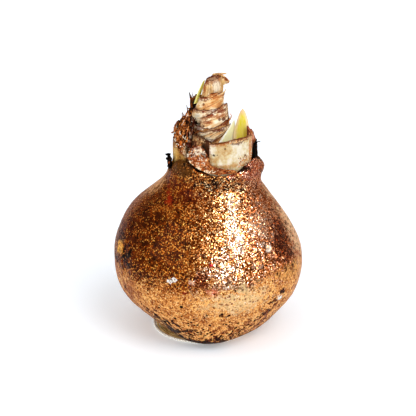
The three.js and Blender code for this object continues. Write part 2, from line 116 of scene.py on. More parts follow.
# The bulb's middle line and the roll's, as (height, x).
BULB_LEAN: Table = (
    (0, 2.1), (12, 3.4), (25, 2.4), (38, 2.1), (50, 0.3), (64, -0.1), (78, 4.3), (84, 5.5), (90, 5.8),
)
ROLL: Table = ((88, 3.6), (98, 3.2), (110, 3), (119, 4.2), (126, 5.2), (130, 5.4))
# The coat's soft swellings: their depth as a share of the radius, how many go round the bulb, where
# they start, in radians, and how far up they turn by one radian.
SWELLINGS = ((0.011, 3, 0.7, 40), (0.007, 5, 0, -13), (0.006, 7, 1.2, 9), (0.005, 2, 0, 7))


def along(table: Along, x: Array) -> Array:
    """Reads a smooth curve through a table of points, held level past its ends.

    Args:
        table: The curve's (x, value) points, or one number for a level line.
        x: Where to read it.

    Returns:
        The values at x.
    """
    x = np.asarray(x, float)
    if isinstance(table, (int, float)):
        return np.full_like(x, float(table))
    xs, ys = np.array(table, float).T
    last = len(xs) - 1
    before, after = np.maximum(np.arange(last + 1) - 1, 0), np.minimum(np.arange(last + 1) + 1, last)
    slope = (ys[after] - ys[before]) / (xs[after] - xs[before])
    k = np.clip(np.searchsorted(xs, x, side="left") - 1, 0, last - 1)
    h = xs[k + 1] - xs[k]
    t = np.clip((x - xs[k]) / h, 0, 1)
    return (
        (2 * t**3 - 3 * t**2 + 1) * ys[k]
        + (t**3 - 2 * t**2 + t) * h * slope[k]
        + (3 * t**2 - 2 * t**3) * ys[k + 1]
        + (t**3 - t**2) * h * slope[k + 1]
    )


def rows_of(*columns: Array) -> Array:
    """Rows of numbers, such as points, from columns that may each be one number for all rows."""
    return np.stack(np.broadcast_arrays(*columns), -1)


def level(table: Along, x: float) -> float:
    """The value of a smooth curve at one place."""
    return float(along(table, x))


def unit(vectors: Array) -> Array:
    """Vectors with their length brought to 1."""
    return vectors / (np.linalg.norm(vectors, axis=-1, keepdims=True) + 1e-9)


def bell(x: Array, middle: float, width: float) -> Array:
    """Rises smoothly to 1 at the middle and sinks to nearly 0 two widths away from it."""
    return np.exp(-(((x - middle) / width) ** 2))


def smoothstep(x: Array, low: float, high: float) -> Array:
    """Rises smoothly from 0 at low to 1 at high."""
    t = np.clip((np.asarray(x, float) - low) / (high - low), 0, 1)
    return t * t * (3 - 2 * t)


def lerp(a: Array, b: Array, t: Array) -> Array:
    """The point a share t of the way from a to b."""
    return a + (b - a) * t


def chance(n: Array, seed: float) -> Array:
    """Repeatable numbers from -1 to 1 for whole numbers and a seed."""
    s = np.sin(np.asarray(n, float) * 12.9898 + seed * 78.233) * 43758.5453
    return 2 * (s - np.floor(s)) - 1


def torn(u: Array, teeth: float, seed: float) -> Array:
    """A torn edge: straight runs between random heights from -1 to 1.

    Args:
        u: Share of the way along the edge.
        teeth: How many runs there are over the whole edge.
        seed: Which of the many edges this is.

    Returns:
        The edge's height at u.
    """
    at = np.asarray(u, float) * teeth
    k = np.floor(at)
    return lerp(chance(k, seed), chance(k + 1, seed), at - k)


def lumps(points: Array, size: Union[float, Point], seed: float = 0.0) -> Array:
    """Smooth random heights in space.

    Args:
        points: Where to read them, one row of x, y and z each.
        size: How far apart the lumps are, in general or along x, y and z.
        seed: Which of the many patterns this is.

    Returns:
        Heights from -1 to 1, one for each point.
    """
    cell = np.asarray(points, float) / np.asarray(size, float) + 13.7 * seed + 0.31
    base = np.floor(cell)
    part = cell - base
    part = part * part * (3 - 2 * part)
    total = np.zeros(cell.shape[:-1])
    for corner in np.ndindex(2, 2, 2):
        at = base + corner
        key = at[..., 0] + 57.0 * at[..., 1] + 113.0 * at[..., 2]
        weight = np.prod(np.where(np.array(corner) == 1, part, 1 - part), axis=-1)
        total += weight * chance(key, seed)
    return total


def on_bulb(r: Array, z: Array, angle: Array, fray: float = 0.0) -> Array:
    """Points of the bulb from its outline: its lean, its soft swellings and its rim.

    Args:
        r: The outline's radius.
        z: The outline's height.
        angle: The direction.
        fray: How deep the fine teeth of the wax's rim are.

    Returns:
        The points, one row each.
    """
    a = np.radians(angle)
    body = smoothstep(z, 3, 16) * (1 - smoothstep(z, 66, 78))
    swell = body * sum(depth * np.sin(waves * a + start + z / gap) for depth, waves, start, gap in SWELLINGS)
    share = (angle + 180) / 360
    rim = along(RIM, angle) + 0.3 * torn(share, 30, 4) + fray * torn(share, 110, 9)
    lift = smoothstep(z, 76, RIM_USUAL) * (rim - RIM_USUAL) + body * SIDE_SAG * np.cos(a)
    roll = smoothstep(z, 79, 82) * (1 - 0.6 * smoothstep(z, 83, RIM_USUAL))
    lip = 0.6 * roll * (1 + np.sin(np.radians(5 * angle + 40))) * bell(angle, -20, 60)
    run = bell(angle, RUN_DOWN, 28) * (1 - smoothstep(z, 3, 22)) * smoothstep(r, 10, 30)
    tuck = bell(angle, TUCK, 26) * (1 - smoothstep(z, 6, 19)) * smoothstep(r, 16, 28)
    reach = r * (1 + swell) + lip + RUN_REACH * run - TUCK_DEPTH * tuck
    x = along(BULB_LEAN, z) + reach * np.cos(a)
    return rows_of(x, reach * np.sin(a), z + lift - RUN_DROP * run)


# ---- shapes


@dataclass
class Shape:
    """A closed mesh in the making.

    points are in millimetres. edge holds, for each point, how far it is below its torn upper edge and
    from its side margin. form holds how high it stands in its own wrinkles, from 0 to 1, and whether
    it is on the outer side.
    """

    points: Array
    faces: list[tuple[int, ...]]
    edge: Array
    form: Array

    @classmethod
    def plain(cls, points: Array, faces: Sequence[tuple[int, ...]]) -> Shape:
        """A shape with no torn edge and no wrinkles of its own."""
        far = np.full((len(points), 2), 10.0)
        return cls(points, list(faces), far, np.tile((0.5, 1.0), (len(points), 1)))

    @classmethod
    def tube(cls, rings: Array, start: Point, end: Point) -> Shape:
        """A plain shape of closed rings of points, with one point more at either end."""
        return cls.plain(np.concatenate([rings.reshape(-1, 3), [start, end]]), capped(*rings.shape[1::-1]))

    @classmethod
    def merged(cls, shapes: Sequence[Shape]) -> Shape:
        """Several shapes as one.

        Args:
            shapes: The shapes, in order.

        Returns:
            One shape that holds them all.
        """
        faces: list[tuple[int, ...]] = []
        shift = 0
        for shape in shapes:
            faces += [tuple(i + shift for i in face) for face in shape.faces]
            shift += len(shape.points)
        points, edge, form = (np.concatenate(p) for p in zip(*((s.points, s.edge, s.form) for s in shapes)))
        return cls(points, faces, edge, form)


def ring_faces(columns: int, rings: int, closed: bool = True, turned: bool = False) -> list[tuple[int, ...]]:
    """The squares between rings of points.

    Args:
        columns: Points in each ring.
        rings: How many rings there are.
        closed: Whether each ring's last point meets its first.
        turned: Whether the last ring meets the first one.

    Returns:
        The faces, facing out when the rings run anticlockwise and upwards on the outside.
    """
    across, upwards = columns if closed else columns - 1, rings if turned else rings - 1
    i, j = (part.ravel() for part in np.meshgrid(np.arange(across), np.arange(upwards)))
    right, above = (i + 1) % columns, (j + 1) % rings
    low, high = j * columns, above * columns
    return [tuple(quad) for quad in np.stack([low + i, low + right, high + right, high + i], -1).tolist()]


def capped(columns: int, rings: int) -> list[tuple[int, ...]]:
    """The faces of a tube of closed rings with a point more at either end.

    Args:
        columns: Points in each ring.
        rings: How many rings there are.

    Returns:
        The faces; the two end points follow the rings.
    """
    faces = ring_faces(columns, rings)
    start = rings * columns
    last = start - columns
    for i in range(columns):
        right = (i + 1) % columns
        faces += [(start, right, i), (start + 1, last + i, last + right)]
    return faces


def strand(path: Array, width: Array, thick: Array, sides: int = 6, out: Union[Array, None] = None) -> Shape:
    """A bar, fibre or ribbon along a path.

    Args:
        path: The points of its middle line.
        width: Its half width at each point.
        thick: Its half thickness at each point.
        sides: How many sides its section has.
        out: The way in which its thickness runs, at each point; away from the bulb's axis if left out.

    Returns:
        The closed shape.
    """
    if out is None:
        out = path * (1, 1, 0) - (4, 0, 0) + (0, 0, 1e-3)
    tangent = unit(np.gradient(path, axis=0))
    across = unit(np.cross(tangent, out))
    up = np.cross(across, tangent)
    turn = 2 * np.pi * np.arange(sides) / sides
    ring = (
        across[:, None] * (np.cos(turn)[None, :, None] * np.reshape(width, (-1, 1, 1)))
        + up[:, None] * (np.sin(turn)[None, :, None] * np.reshape(thick, (-1, 1, 1)))
    )
    return Shape.tube(path[:, None] + ring, path[0], path[-1])


def smooth_path(points: Sequence[Point], steps: int) -> Array:
    """A smooth line of many points through a few."""
    t = np.linspace(0, len(points) - 1, steps)
    return np.stack([along(tuple(enumerate(column)), t) for column in zip(*points)], -1)


def shred(points: Sequence[Point], width: Span, thick: Span, steps: int = 10, sides: int = 6) -> Shape:
    """A strand through a few points whose half width and half thickness go evenly from first to last."""
    return strand(smooth_path(points, steps), np.linspace(*width, steps), np.linspace(*thick, steps), sides)


@dataclass(frozen=True, kw_only=True)
class Wrinkles:
    """The relief of a dry leaf: how deep and how far apart its rings, fibres and lumps are.

    slope is how far its rings climb towards +X, per millimetre.
    """

    rings: float = 0.0
    ring_gap: float = 1.6
    fibres: float = 0.0
    fibre_gap: float = 0.9
    lumps: float = 0.0
    lump_gap: float = 3.0
    slope: float = 0.3

    def relief(self, points: Array, seed: float) -> Array:
        """How high the surface stands.

        Args:
            points: Where to read it, one row each.
            seed: Which of the many reliefs this is.

        Returns:
            Heights in mm, from minus its depth to plus it.
        """
        total = np.zeros(len(points))
        if self.rings:
            tilted = points - np.outer(points[:, 0], (0, 0, self.slope))
            ring = lumps(tilted, (6 * self.ring_gap, 6 * self.ring_gap, self.ring_gap), seed)
            fine = lumps(tilted, (3 * self.ring_gap, 3 * self.ring_gap, self.ring_gap / 2.2), seed + 1)
            total += self.rings * (0.7 * ring + 0.3 * fine)
        if self.fibres:
            size = (self.fibre_gap, self.fibre_gap, 9 * self.fibre_gap)
            total += self.fibres * lumps(points, size, seed + 2)
        if self.lumps:
            broad, fine = lumps(points, self.lump_gap, seed + 3), lumps(points, self.lump_gap / 2.3, seed + 4)
            total += self.lumps * (0.7 * broad + 0.3 * fine)
        return total

    @property
    def depth(self) -> float:
        """The most that the relief stands up or lies down, in mm."""
        return max(self.rings + self.fibres + self.lumps, 0.01)


@dataclass(frozen=True, kw_only=True)
class Sheet(Wrinkles):
    """A thin curved sheet that stands round an upright axis: a cut scale, a dry tunic or a sheath.

    start and end are its margins' angles, foot and top its lower and upper edge's heights, and radius
    that of its middle surface at each height. The fields up to core are the solid's own. fray is the
    depth of the fine teeth along its torn edge, thin how much of its thickness is left there, and
    swell how far its cut rim stands out.
    """

    top: Along
    radius: Along
    foot: Along = SEAT
    thick: float = 0.8
    start: Along = -180.0
    end: Along = 180.0
    axis: Table = BULB_LEAN
    flat: float = 0.0
    tear: float = 0.0
    teeth: int = 0
    seed: int = 1
    flare: float = 0.0
    ripple: float = 0.0
    crowd: float = 1.0
    core: float = 0.0
    columns: int = 90
    rows: int = 40
    fray: float = 0.25
    thin: float = 0.5
    swell: float = 0.0

    @property
    def whole(self) -> bool:
        """Whether the sheet goes all the way round."""
        return self.start == -180.0 and self.end == 180.0

    def surface(self, u: Array, v: Array, side: float) -> tuple[Array, Array, Array]:
        """Points of one side of the sheet.

        Args:
            u: Share of the way round, from its start to its end.
            v: Share of the way up.
            side: 1 for the outer side and -1 for the inner one.

        Returns:
            The points, their edge values and their form values.
        """
        high = along(self.top, u)
        if self.teeth:
            high = high + self.tear * torn(u, self.teeth, self.seed)
            high = high + self.fray * torn(u, self.teeth * 4, self.seed + 50)
            high = high + 0.5 * self.fray * torn(u, self.teeth * 11, self.seed + 60)
        z = lerp(along(self.foot, u), high, v)
        angle = lerp(along(self.start, v), along(self.end, v), u)
        inwards = np.minimum(u, 1 - u)
        if not self.whole:
            nick = 1.1 * (1 - np.minimum(1, inwards * 9)) * lumps(rows_of(0, 0, z), 1.3, self.seed)
            angle = angle + nick * np.where(u < 0.5, 1, -1)
        a = np.radians(angle)
        margin = 1.0 if self.whole else smoothstep(inwards, -0.06, 0.1)
        half = (self.thick / 2) * lerp(0.72, 1.0, margin) * lerp(1.0, 0.8, smoothstep(v, 0.8, 1))
        waves = np.sin(5 * a + 0.5 * z + self.seed) + 0.6 * np.sin(9 * a - 0.3 * z + 2 * self.seed)
        outer = along(self.radius, z) + self.flare * v**4 + half + self.ripple * waves
        below = np.maximum(high - z, 0)
        kept = lerp(self.thin, 1.0, smoothstep(below, 0, 2.5)) * lerp(0.5, 1.0, margin)
        bare = rows_of(outer * np.cos(a), outer * np.sin(a), z)
        relief = self.relief(bare, self.seed)
        rim = self.swell * bell(below, 0, 1.1) * (0.6 + 0.7 * lumps(bare, 1.7, self.seed + 7))
        outer = outer + relief - 0.35 * self.depth + rim
        r = outer if side > 0 else outer - 2 * half * kept
        squash = 1 - self.flat * smoothstep(v, 0.2, 1)
        points = rows_of(along(self.axis, z) + r * np.cos(a), r * np.sin(a) * squash, z)
        width = np.radians(np.abs(along(self.end, v) - along(self.start, v))) * outer
        edge = rows_of(below, 10.0 if self.whole else inwards * width)
        form = rows_of(0.5 + 0.5 * relief / self.depth, 0.5 + 0.5 * side)
        return points, edge, form

    def grid(self, side: float) -> tuple[Array, Array, Array]:
        """One whole side of the sheet, row by row from its foot.

        Args:
            side: 1 for the outer side and -1 for the inner one.

        Returns:
            The points, their edge values and their form values.
        """
        width = self.columns if self.whole else self.columns + 1
        i, j = np.meshgrid(np.arange(width), np.arange(self.rows + 1))
        v = 1 - (1 - j.ravel() / self.rows) ** self.crowd
        return self.surface(i.ravel() / self.columns, v, side)

    def shape(self) -> Shape:
        """Closes the sheet's two sides.

        Returns:
            The shape: open, whole, or whole with a solid core.
        """
        outer, inner = self.grid(1), self.grid(-1)
        rings = self.rows + 1
        if self.core:
            return self._cupped(outer, [part.reshape(rings, self.columns, -1)[-1] for part in inner])
        if self.whole:
            inner = [part.reshape(rings, self.columns, -1)[::-1].reshape(part.shape) for part in inner]
            faces = ring_faces(self.columns, 2 * rings, turned=True)
        else:
            faces = slab_faces(self.columns, self.rows)
        points, edge, form = (np.concatenate(pair) for pair in zip(outer, inner))
        return Shape(points, faces, edge, form)

    def _cupped(self, outer: Sequence[Array], rim: Sequence[Array]) -> Shape:
        """A rolled sheath: up its outside, over its rim and down into a cup round its core.

        Args:
            outer: The outer side.
            rim: The inner side's uppermost ring.

        Returns:
            The closed shape.
        """
        foot = level(self.foot, 0.0)
        ends = rows_of([level(self.axis, foot), level(self.axis, self.core)], 0, [foot, self.core])
        rings = [outer]
        for share in (0.0, 0.2, 0.45, 0.7, 0.9):
            down = lerp(rim[0], ends[1], np.array((share**2, share**2, share)))
            rings.append((down, rim[1] + share * 4, rim[2]))
        rings.append((ends, np.full((2, 2), 9.0), np.zeros((2, 2))))
        points, edge, form = (np.concatenate(part) for part in zip(*rings))
        return Shape(points, capped(self.columns, self.rows + len(rings) - 1), edge, form)


def slab_faces(columns: int, rows: int) -> list[tuple[int, ...]]:
    """The faces of a closed slab between an outer grid of points and an inner one.

    Args:
        columns: How many squares wide it is.
        rows: How many squares high it is.

    Returns:
        The faces; the inner grid's points follow the outer one's.
    """
    width = columns + 1
    shift = width * (rows + 1)
    outer = ring_faces(width, rows + 1, closed=False)
    faces = outer + [tuple(i + shift for i in reversed(face)) for face in outer]
    for j in range(rows):
        left, right = j * width, j * width + columns
        faces.append((left + shift, left, left + width, left + width + shift))
        faces.append((right, right + shift, right + width + shift, right + width))
    top = rows * width
    for i in range(columns):
        faces.append((i + shift, i + 1 + shift, i + 1, i))
        faces.append((top + i, top + i + 1, top + i + 1 + shift, top + i + shift))
    return faces


@dataclass(frozen=True)
class Tangle:
    """Loose curly fibres that lie on a sheet: how many, where, how long, how wide and how they turn.

    u and v are the part of the sheet where they start, length, half and stand their least and most
    length, half width and height over the sheet in mm, heading and spread their direction in degrees
    from the way round, and curl how far they bend, in degrees.
    """

    count: int
    seed: int
    u: Span = (0.02, 0.98)
    v: Span = (0.0, 0.95)
    length: Span = (2.0, 6.0)
    half: Span = (0.1, 0.24)
    stand: Span = (0.1, 0.7)
    heading: float = 80.0
    spread: float = 35.0
    curl: float = 70.0
    steps: int = 8
    least_step: float = 0.02

    def over(self, sheet: Sheet) -> Shape:
        """Lays the fibres on a sheet.

        Args:
            sheet: The sheet.

        Returns:
            The fibres as one shape.
        """
        draw = np.random.default_rng(self.seed)
        t = np.linspace(0, 1, self.steps)
        foot, top = level(sheet.foot, 0.5), level(sheet.top, 0.5)
        middle, tall = (foot + top) / 2, top - foot
        turn = abs(level(sheet.end, 0.5) - level(sheet.start, 0.5))
        wide = math.radians(turn) * level(sheet.radius, middle)
        fibres = []
        for _ in range(self.count):
            angle = np.radians(draw.normal(self.heading, self.spread) + draw.normal(0, self.curl) * t)
            step = draw.uniform(*self.length) / self.steps
            u = draw.uniform(*self.u) + np.cumsum(np.cos(angle)) * step / wide
            v = draw.uniform(*self.v) + np.cumsum(np.sin(angle)) * step / tall
            path = sheet.surface(np.clip(u, 0, 1), np.clip(v, 0, 1), 1)[0]
            out = path * (1, 1, 0) - (level(sheet.axis, middle), 0, 0)
            out /= np.linalg.norm(out, axis=1, keepdims=True)
            lift = 0.08 + draw.uniform(*self.stand) * np.sin(np.pi * t * draw.uniform(0.4, 1.0))
            path = path + out * lift[:, None] + rows_of(0, 0, np.maximum(v - 1, 0) * tall)
            if np.linalg.norm(np.diff(path, axis=0), axis=1).min() < self.least_step:
                continue
            half = draw.uniform(*self.half) * (1 - 0.75 * np.abs(2 * t - 0.8) ** 2.5 / 2)
            fibres.append(strand(path, half * draw.uniform(1.0, 2.6), half, 5))
        return Shape.merged(fibres)


def crumb(centre: Point, size: float, seed: int, rings: int = 5, sides: int = 7) -> Shape:
    """One small rough lump.

    Args:
        centre: Its middle, in mm.
        size: Its half width, in mm.
        seed: Which of the many lumps this is.
        rings: Rings of points from its foot to its top.
        sides: Points in each ring.

    Returns:
        The closed shape.
    """
    tilt, turn = np.linspace(0.16, 0.84, rings) * np.pi, np.arange(sides) * 2 * np.pi / sides
    tilt, turn = np.meshgrid(tilt, turn, indexing="ij")
    ball = rows_of(np.sin(tilt) * np.cos(turn), np.sin(tilt) * np.sin(turn), -np.cos(tilt))
    ball = np.concatenate([ball.reshape(-1, 3), [(0, 0, -1), (0, 0, 1)]])
    ball *= (1 + 0.45 * lumps(ball + seed * 7.3, 0.8, seed))[:, None]
    squeeze = np.array([1.0, 0.8, 0.65]) * (1 + 0.3 * chance(np.arange(3), seed))
    return Shape.plain(np.array(centre) + size * ball * squeeze, capped(sides, rings))


def crumbs(sheet: Sheet, count: int, place: tuple[Span, Span], size: Span) -> Shape:
    """Small lumps that lie on a sheet.

    Args:
        sheet: The sheet.
        count: How many, which is also their seed.
        place: The part of the sheet where they lie, as its two shares round and its two shares up.
        size: Their least and most half width, in mm.

    Returns:
        The lumps as one shape.
    """
    draw = np.random.default_rng(count)
    lying = []
    for k in range(count):
        u, v = (np.array([draw.uniform(*span)]) for span in place)
        at = sheet.surface(u, v, 1)[0][0]
        lying.append(crumb(at, draw.uniform(*size), count + k))
    return Shape.merged(lying)


# ---- paint

METRE = 1000.0
ORIGIN = (0.0, 0.0, 0.0)
UNSTRETCHED = (1.0, 1.0, 1.0)


def tint(red: float, green: float, blue: float, light: float = 1.0) -> Tint:
    """A colour from the usual 0 to 255 numbers, as a shader wants it, with a share of its light."""
    parts = (c / 255 for c in (red, green, blue))
    return (*(light * (c / 12.92 if c <= 0.04045 else ((c + 0.055) / 1.055) ** 2.4) for c in parts), 1.0)


class Wiring:
    """Adds nodes to one node tree and joins them, so that a finish reads as a list of steps."""

    def __init__(self, tree: bpy.types.NodeTree) -> None:
        """Takes the tree that the nodes go into."""
        self.tree = tree

    def add(self, kind: str, takes: Union[dict, None] = None, **settings: object) -> bpy.types.Node:
        """Adds a node.

        Args:
            kind: Its type's name.
            takes: What its inputs take, as for feed.
            **settings: Its own properties.

        Returns:
            The node.
        """
        node = self.tree.nodes.new(kind)
        for name, value in settings.items():
            setattr(node, name, value)
        self.feed(node, takes or {})
        return node

    def feed(self, node: bpy.types.Node, takes: dict[Union[int, str], object]) -> None:
        """Joins sockets to a node's inputs, or sets the inputs' own values.

        Args:
            node: The node.
            takes: A socket or a value for each input, by its name or number.
        """
        for name, value in takes.items():
            if isinstance(value, bpy.types.NodeSocket):
                self.tree.links.new(value, node.inputs[name])
            else:
                node.inputs[name].default_value = value

    def math(self, operation: str, *values: Value, clamp: bool = False) -> Socket:
        """The result of a sum with numbers."""
        takes = dict(enumerate(values))
        return self.add("ShaderNodeMath", takes, operation=operation, use_clamp=clamp).outputs[0]

    def plus(self, first: Value, second: Value) -> Socket:
        """Two numbers added."""
        return self.math("ADD", first, second)

    def minus(self, first: Value, second: Value) -> Socket:
        """A number less another."""
        return self.math("SUBTRACT", first, second)

    def times(self, first: Value, second: Value) -> Socket:
        """A number times another."""
        return self.math("MULTIPLY", first, second)

    def sway(self, value: Value, size: Value) -> Socket:
        """A value that goes from 0 to 1, turned into one that goes half a size either way."""
        return self.times(self.minus(value, 0.5), size)

    def vector(self, operation: str, *values: object, result: str = "Vector") -> Socket:
        """The result of a sum with vectors."""
        return self.add("ShaderNodeVectorMath", dict(enumerate(values)), operation=operation).outputs[result]

    def scaled(self, vector: object, amount: Value) -> Socket:
        """A vector times a number."""
        return self.add("ShaderNodeVectorMath", {0: vector, "Scale": amount}, operation="SCALE").outputs[0]

    def blend(self, share: Value, low: Paint, high: Paint, mode: str = "MIX") -> Socket:
        """A colour between two others.

        Args:
            share: The second colour's share.
            low: The first colour, of three numbers to 255 or as a shader has it.
            high: The second one.
            mode: How the two mix.

        Returns:
            The colour.
        """
        low, high = (tint(*c) if isinstance(c, tuple) and len(c) == 3 else c for c in (low, high))
        takes = {0: share, 6: low, 7: high}
        return self.add("ShaderNodeMix", takes, data_type="RGBA", blend_type=mode).outputs[2]

    def between(self, share: Value, low: Value, high: Value) -> Socket:
        """A number between two others."""
        return self.add("ShaderNodeMix", {0: share, 2: low, 3: high}, data_type="FLOAT").outputs[0]

    def rise(self, value: Value, start: Value, end: Value, low: Value = 0.0, high: Value = 1.0) -> Socket:
        """A smooth rise from low to high as a value goes from start to end."""
        takes = dict(enumerate((value, start, end, low, high)))
        return self.add("ShaderNodeMapRange", takes, interpolation_type="SMOOTHSTEP").outputs[0]

    def ramp(self, share: Value, *stops: tuple[float, Rgb]) -> Socket:
        """A colour from a row of stops.

        Args:
            share: Where to read it, from 0 to 1.
            *stops: Each stop's place and colour.

        Returns:
            The colour.
        """
        node = self.add("ShaderNodeValToRGB", {0: share})
        elements = node.color_ramp.elements
        while len(elements) < len(stops):
            elements.new(1.0)
        for element, (at, colour) in zip(elements, stops):
            element.position = at
            element.color = tint(*colour)
        return node.outputs[0]

    def parts(self, vector: Socket) -> list[Socket]:
        """A vector's x, y and z."""
        return list(self.add("ShaderNodeSeparateXYZ", {0: vector}).outputs)

    def place(self) -> Socket:
        """Where the shaded point is on the object, in metres."""
        return self.add("ShaderNodeTexCoord").outputs["Object"]

    def kept(self, name: str) -> list[Socket]:
        """The two values that a shape keeps for each point under a name."""
        return self.parts(self.add("ShaderNodeUVMap", uv_map=name).outputs[0])[:2]

    def bump(self, height: Socket, strength: float, depth: float) -> Socket:
        """The normal of a fine relief from its height, its strength and its depth in mm."""
        takes = {"Height": height, "Strength": strength, "Distance": depth * MM}
        return self.add("ShaderNodeBump", takes).outputs[0]

    def use(self, shared: Effect, **values: object) -> Union[Socket, list[Socket]]:
        """A shared effect with its own values; gives its one output, or a list of them."""
        outputs = self.add("ShaderNodeGroup", values, node_tree=shared.group()).outputs
        return outputs[0] if len(outputs) == 1 else list(outputs)

    def grain(self, place: Socket, size: float, stretch: Point = UNSTRETCHED, detail: float = 3.0) -> Socket:
        """Soft random tone from 0 to 1, of a size in mm."""
        return self.use(grain, Place=place, Size=size, Stretch=stretch, Detail=detail)


@dataclass
class Effect:
    """A shared effect, built once as a shader node group, when it is first used.

    takes are its inputs with their usual values, and gives its outputs. An input with a usual value
    of three numbers is a vector, and so is an output called Normal. steps adds its nodes.
    """

    name: str
    takes: dict[str, object]
    gives: Sequence[str]
    steps: Callable[..., Sockets]
    made: Union[bpy.types.NodeTree, None] = None

    def group(self) -> bpy.types.NodeTree:
        """The effect's node group.

        Returns:
            Its tree, built when it is first asked for.
        """
        if self.made is None:
            self.made = bpy.data.node_groups.new(self.name, "ShaderNodeTree")
            w = Wiring(self.made)
            for label, value in self.takes.items():
                self._socket(label, "INPUT", isinstance(value, tuple)).default_value = value
            for label in self.gives:
                self._socket(label, "OUTPUT", label == "Normal")
            results = self.steps(w, *w.add("NodeGroupInput").outputs[: len(self.takes)])
            w.feed(w.add("NodeGroupOutput"), dict(enumerate(results)))
        return self.made

    def _socket(self, label: str, side: str, vector: bool) -> bpy.types.NodeTreeInterfaceSocket:
        """A new socket of the group."""
        kind = "NodeSocketVector" if vector else "NodeSocketFloat"
        return self.made.interface.new_socket(label, in_out=side, socket_type=kind)


def effect(name: str, *gives: str, **takes: object) -> Callable[[Callable[..., Sockets]], Effect]:
    """Turns the function under it, which adds an effect's nodes, into the effect of that name."""
    return lambda steps: Effect(name, takes, gives, steps)


@effect("grain", "Value", Place=ORIGIN, Size=2.0, Stretch=UNSTRETCHED, Detail=3.0)
def grain(w: Wiring, place: Socket, size: Socket, stretch: Socket, detail: Socket) -> Sockets:
    """Soft random tone, stretched along an axis.

    Args:
        w: The group's nodes.
        place: The shaded point, in metres.
        size: Its size in mm.
        stretch: How long it is along x, y and z.
        detail: How many finer layers it has.

    Returns:
        The tone.
    """
    takes = {"Vector": w.vector("DIVIDE", place, stretch), "Scale": w.math("DIVIDE", METRE, size)}
    noise = w.add("ShaderNodeTexNoise", takes | {"Detail": detail, "Roughness": 0.6})
    return [w.rise(noise.outputs[0], 0.27, 0.73)]


@effect("ragged patch", "Mask", Place=ORIGIN, Centre=ORIGIN, Reach=ORIGIN, Wobble=0.5, Ragged=0.5, Soft=0.3)
def ragged_patch(
    w: Wiring, place: Socket, centre: Socket, reach: Socket, wobble: Socket, ragged: Socket, soft: Socket
) -> Sockets:
    """A ragged patch.

    Args:
        w: The group's nodes.
        place: The shaded point, in metres.
        centre: Its middle.
        reach: Its half size.
        wobble: A random tone.
        ragged: How far that moves its rim.
        soft: How softly it ends.

    Returns:
        Its mask.
    """
    away = w.vector("DIVIDE", w.vector("SUBTRACT", place, centre), reach)
    length = w.plus(w.vector("LENGTH", away, result="Value"), w.sway(wobble, ragged))
    return [w.minus(1.0, w.rise(length, w.minus(1.0, soft), w.plus(1.0, soft)))]


@effect("glitter flecks", "Fleck", "Tone", "Normal", Place=ORIGIN, Size=0.7, Cover=0.5, Tilt=0.5,
        Ground=ORIGIN)
def glitter(w: Wiring, place: Socket, size: Socket, cover: Socket, tilt: Socket, ground: Socket) -> Sockets:
    """Flecks of glitter, each lying its own way.

    Args:
        w: The group's nodes.
        place: The shaded point, in metres.
        size: Their size in mm.
        cover: The share of them that shows.
        tilt: How far they lean.
        ground: The normal under them.

    Returns:
        Where they are, their tone and their normal.
    """
    cells = w.add("ShaderNodeTexVoronoi", {"Vector": place, "Scale": w.math("DIVIDE", METRE, size)})
    red, green, blue = w.parts(cells.outputs["Color"])
    draw = w.math("FRACT", w.plus(w.times(red, 7.31), w.times(blue, 5.17)))
    fleck = w.times(w.math("LESS_THAN", draw, cover), w.rise(cells.outputs["Distance"], 0.62, 0.5))
    lean = w.vector("SUBTRACT", cells.outputs["Color"], (0.5, 0.5, 0.5))
    lean = w.scaled(lean, w.times(w.times(tilt, 2.0), fleck))
    return [fleck, green, w.vector("NORMALIZE", w.vector("ADD", ground, lean))]


@effect("specks", "Mask", Place=ORIGIN, Gap=2.0, Share=0.4, Width=0.3)
def specks(w: Wiring, place: Socket, gap: Socket, share: Socket, width: Socket) -> Sockets:
    """Scattered round specks.

    Args:
        w: The group's nodes.
        place: The shaded point, in metres.
        gap: How far apart they are in mm.
        share: The share that is there.
        width: How wide they are.

    Returns:
        Their mask.
    """
    cells = w.add("ShaderNodeTexVoronoi", {"Vector": place, "Scale": w.math("DIVIDE", METRE, gap)})
    red, green, _ = w.parts(cells.outputs["Color"])
    width = w.times(width, w.plus(0.5, green))
    disc = w.rise(cells.outputs["Distance"], width, w.times(width, 0.6))
    return [w.times(w.math("LESS_THAN", red, share), disc)]


@effect("creases", "Mask", Place=ORIGIN, Size=2.0, Stretch=UNSTRETCHED, Width=0.05)
def creases(w: Wiring, place: Socket, size: Socket, stretch: Socket, width: Socket) -> Sockets:
    """Thin wandering lines, as in crumpled paper.

    Args:
        w: The group's nodes.
        place: The shaded point, in metres.
        size: Their spacing in mm.
        stretch: How long they are along x, y and z.
        width: How wide they are.

    Returns:
        Their mask.
    """
    takes = {"Vector": w.vector("DIVIDE", place, stretch), "Scale": w.math("DIVIDE", METRE, size)}
    noise = w.add("ShaderNodeTexNoise", takes | {"Detail": 2.0, "Distortion": 0.6})
    return [w.rise(w.math("ABSOLUTE", w.minus(noise.outputs[0], 0.5)), width, 0.0)]


@effect("dried border", "Mask", Distance=5.0, Width=1.0, Wobble=0.5, Ragged=1.0)
def dried_border(w: Wiring, distance: Socket, width: Socket, wobble: Socket, ragged: Socket) -> Sockets:
    """The dried border of a torn edge: takes the distance from it in mm, a width and a wobble."""
    return [w.rise(w.plus(w.math("DIVIDE", distance, width), w.sway(wobble, ragged)), 1.25, 0.55)]


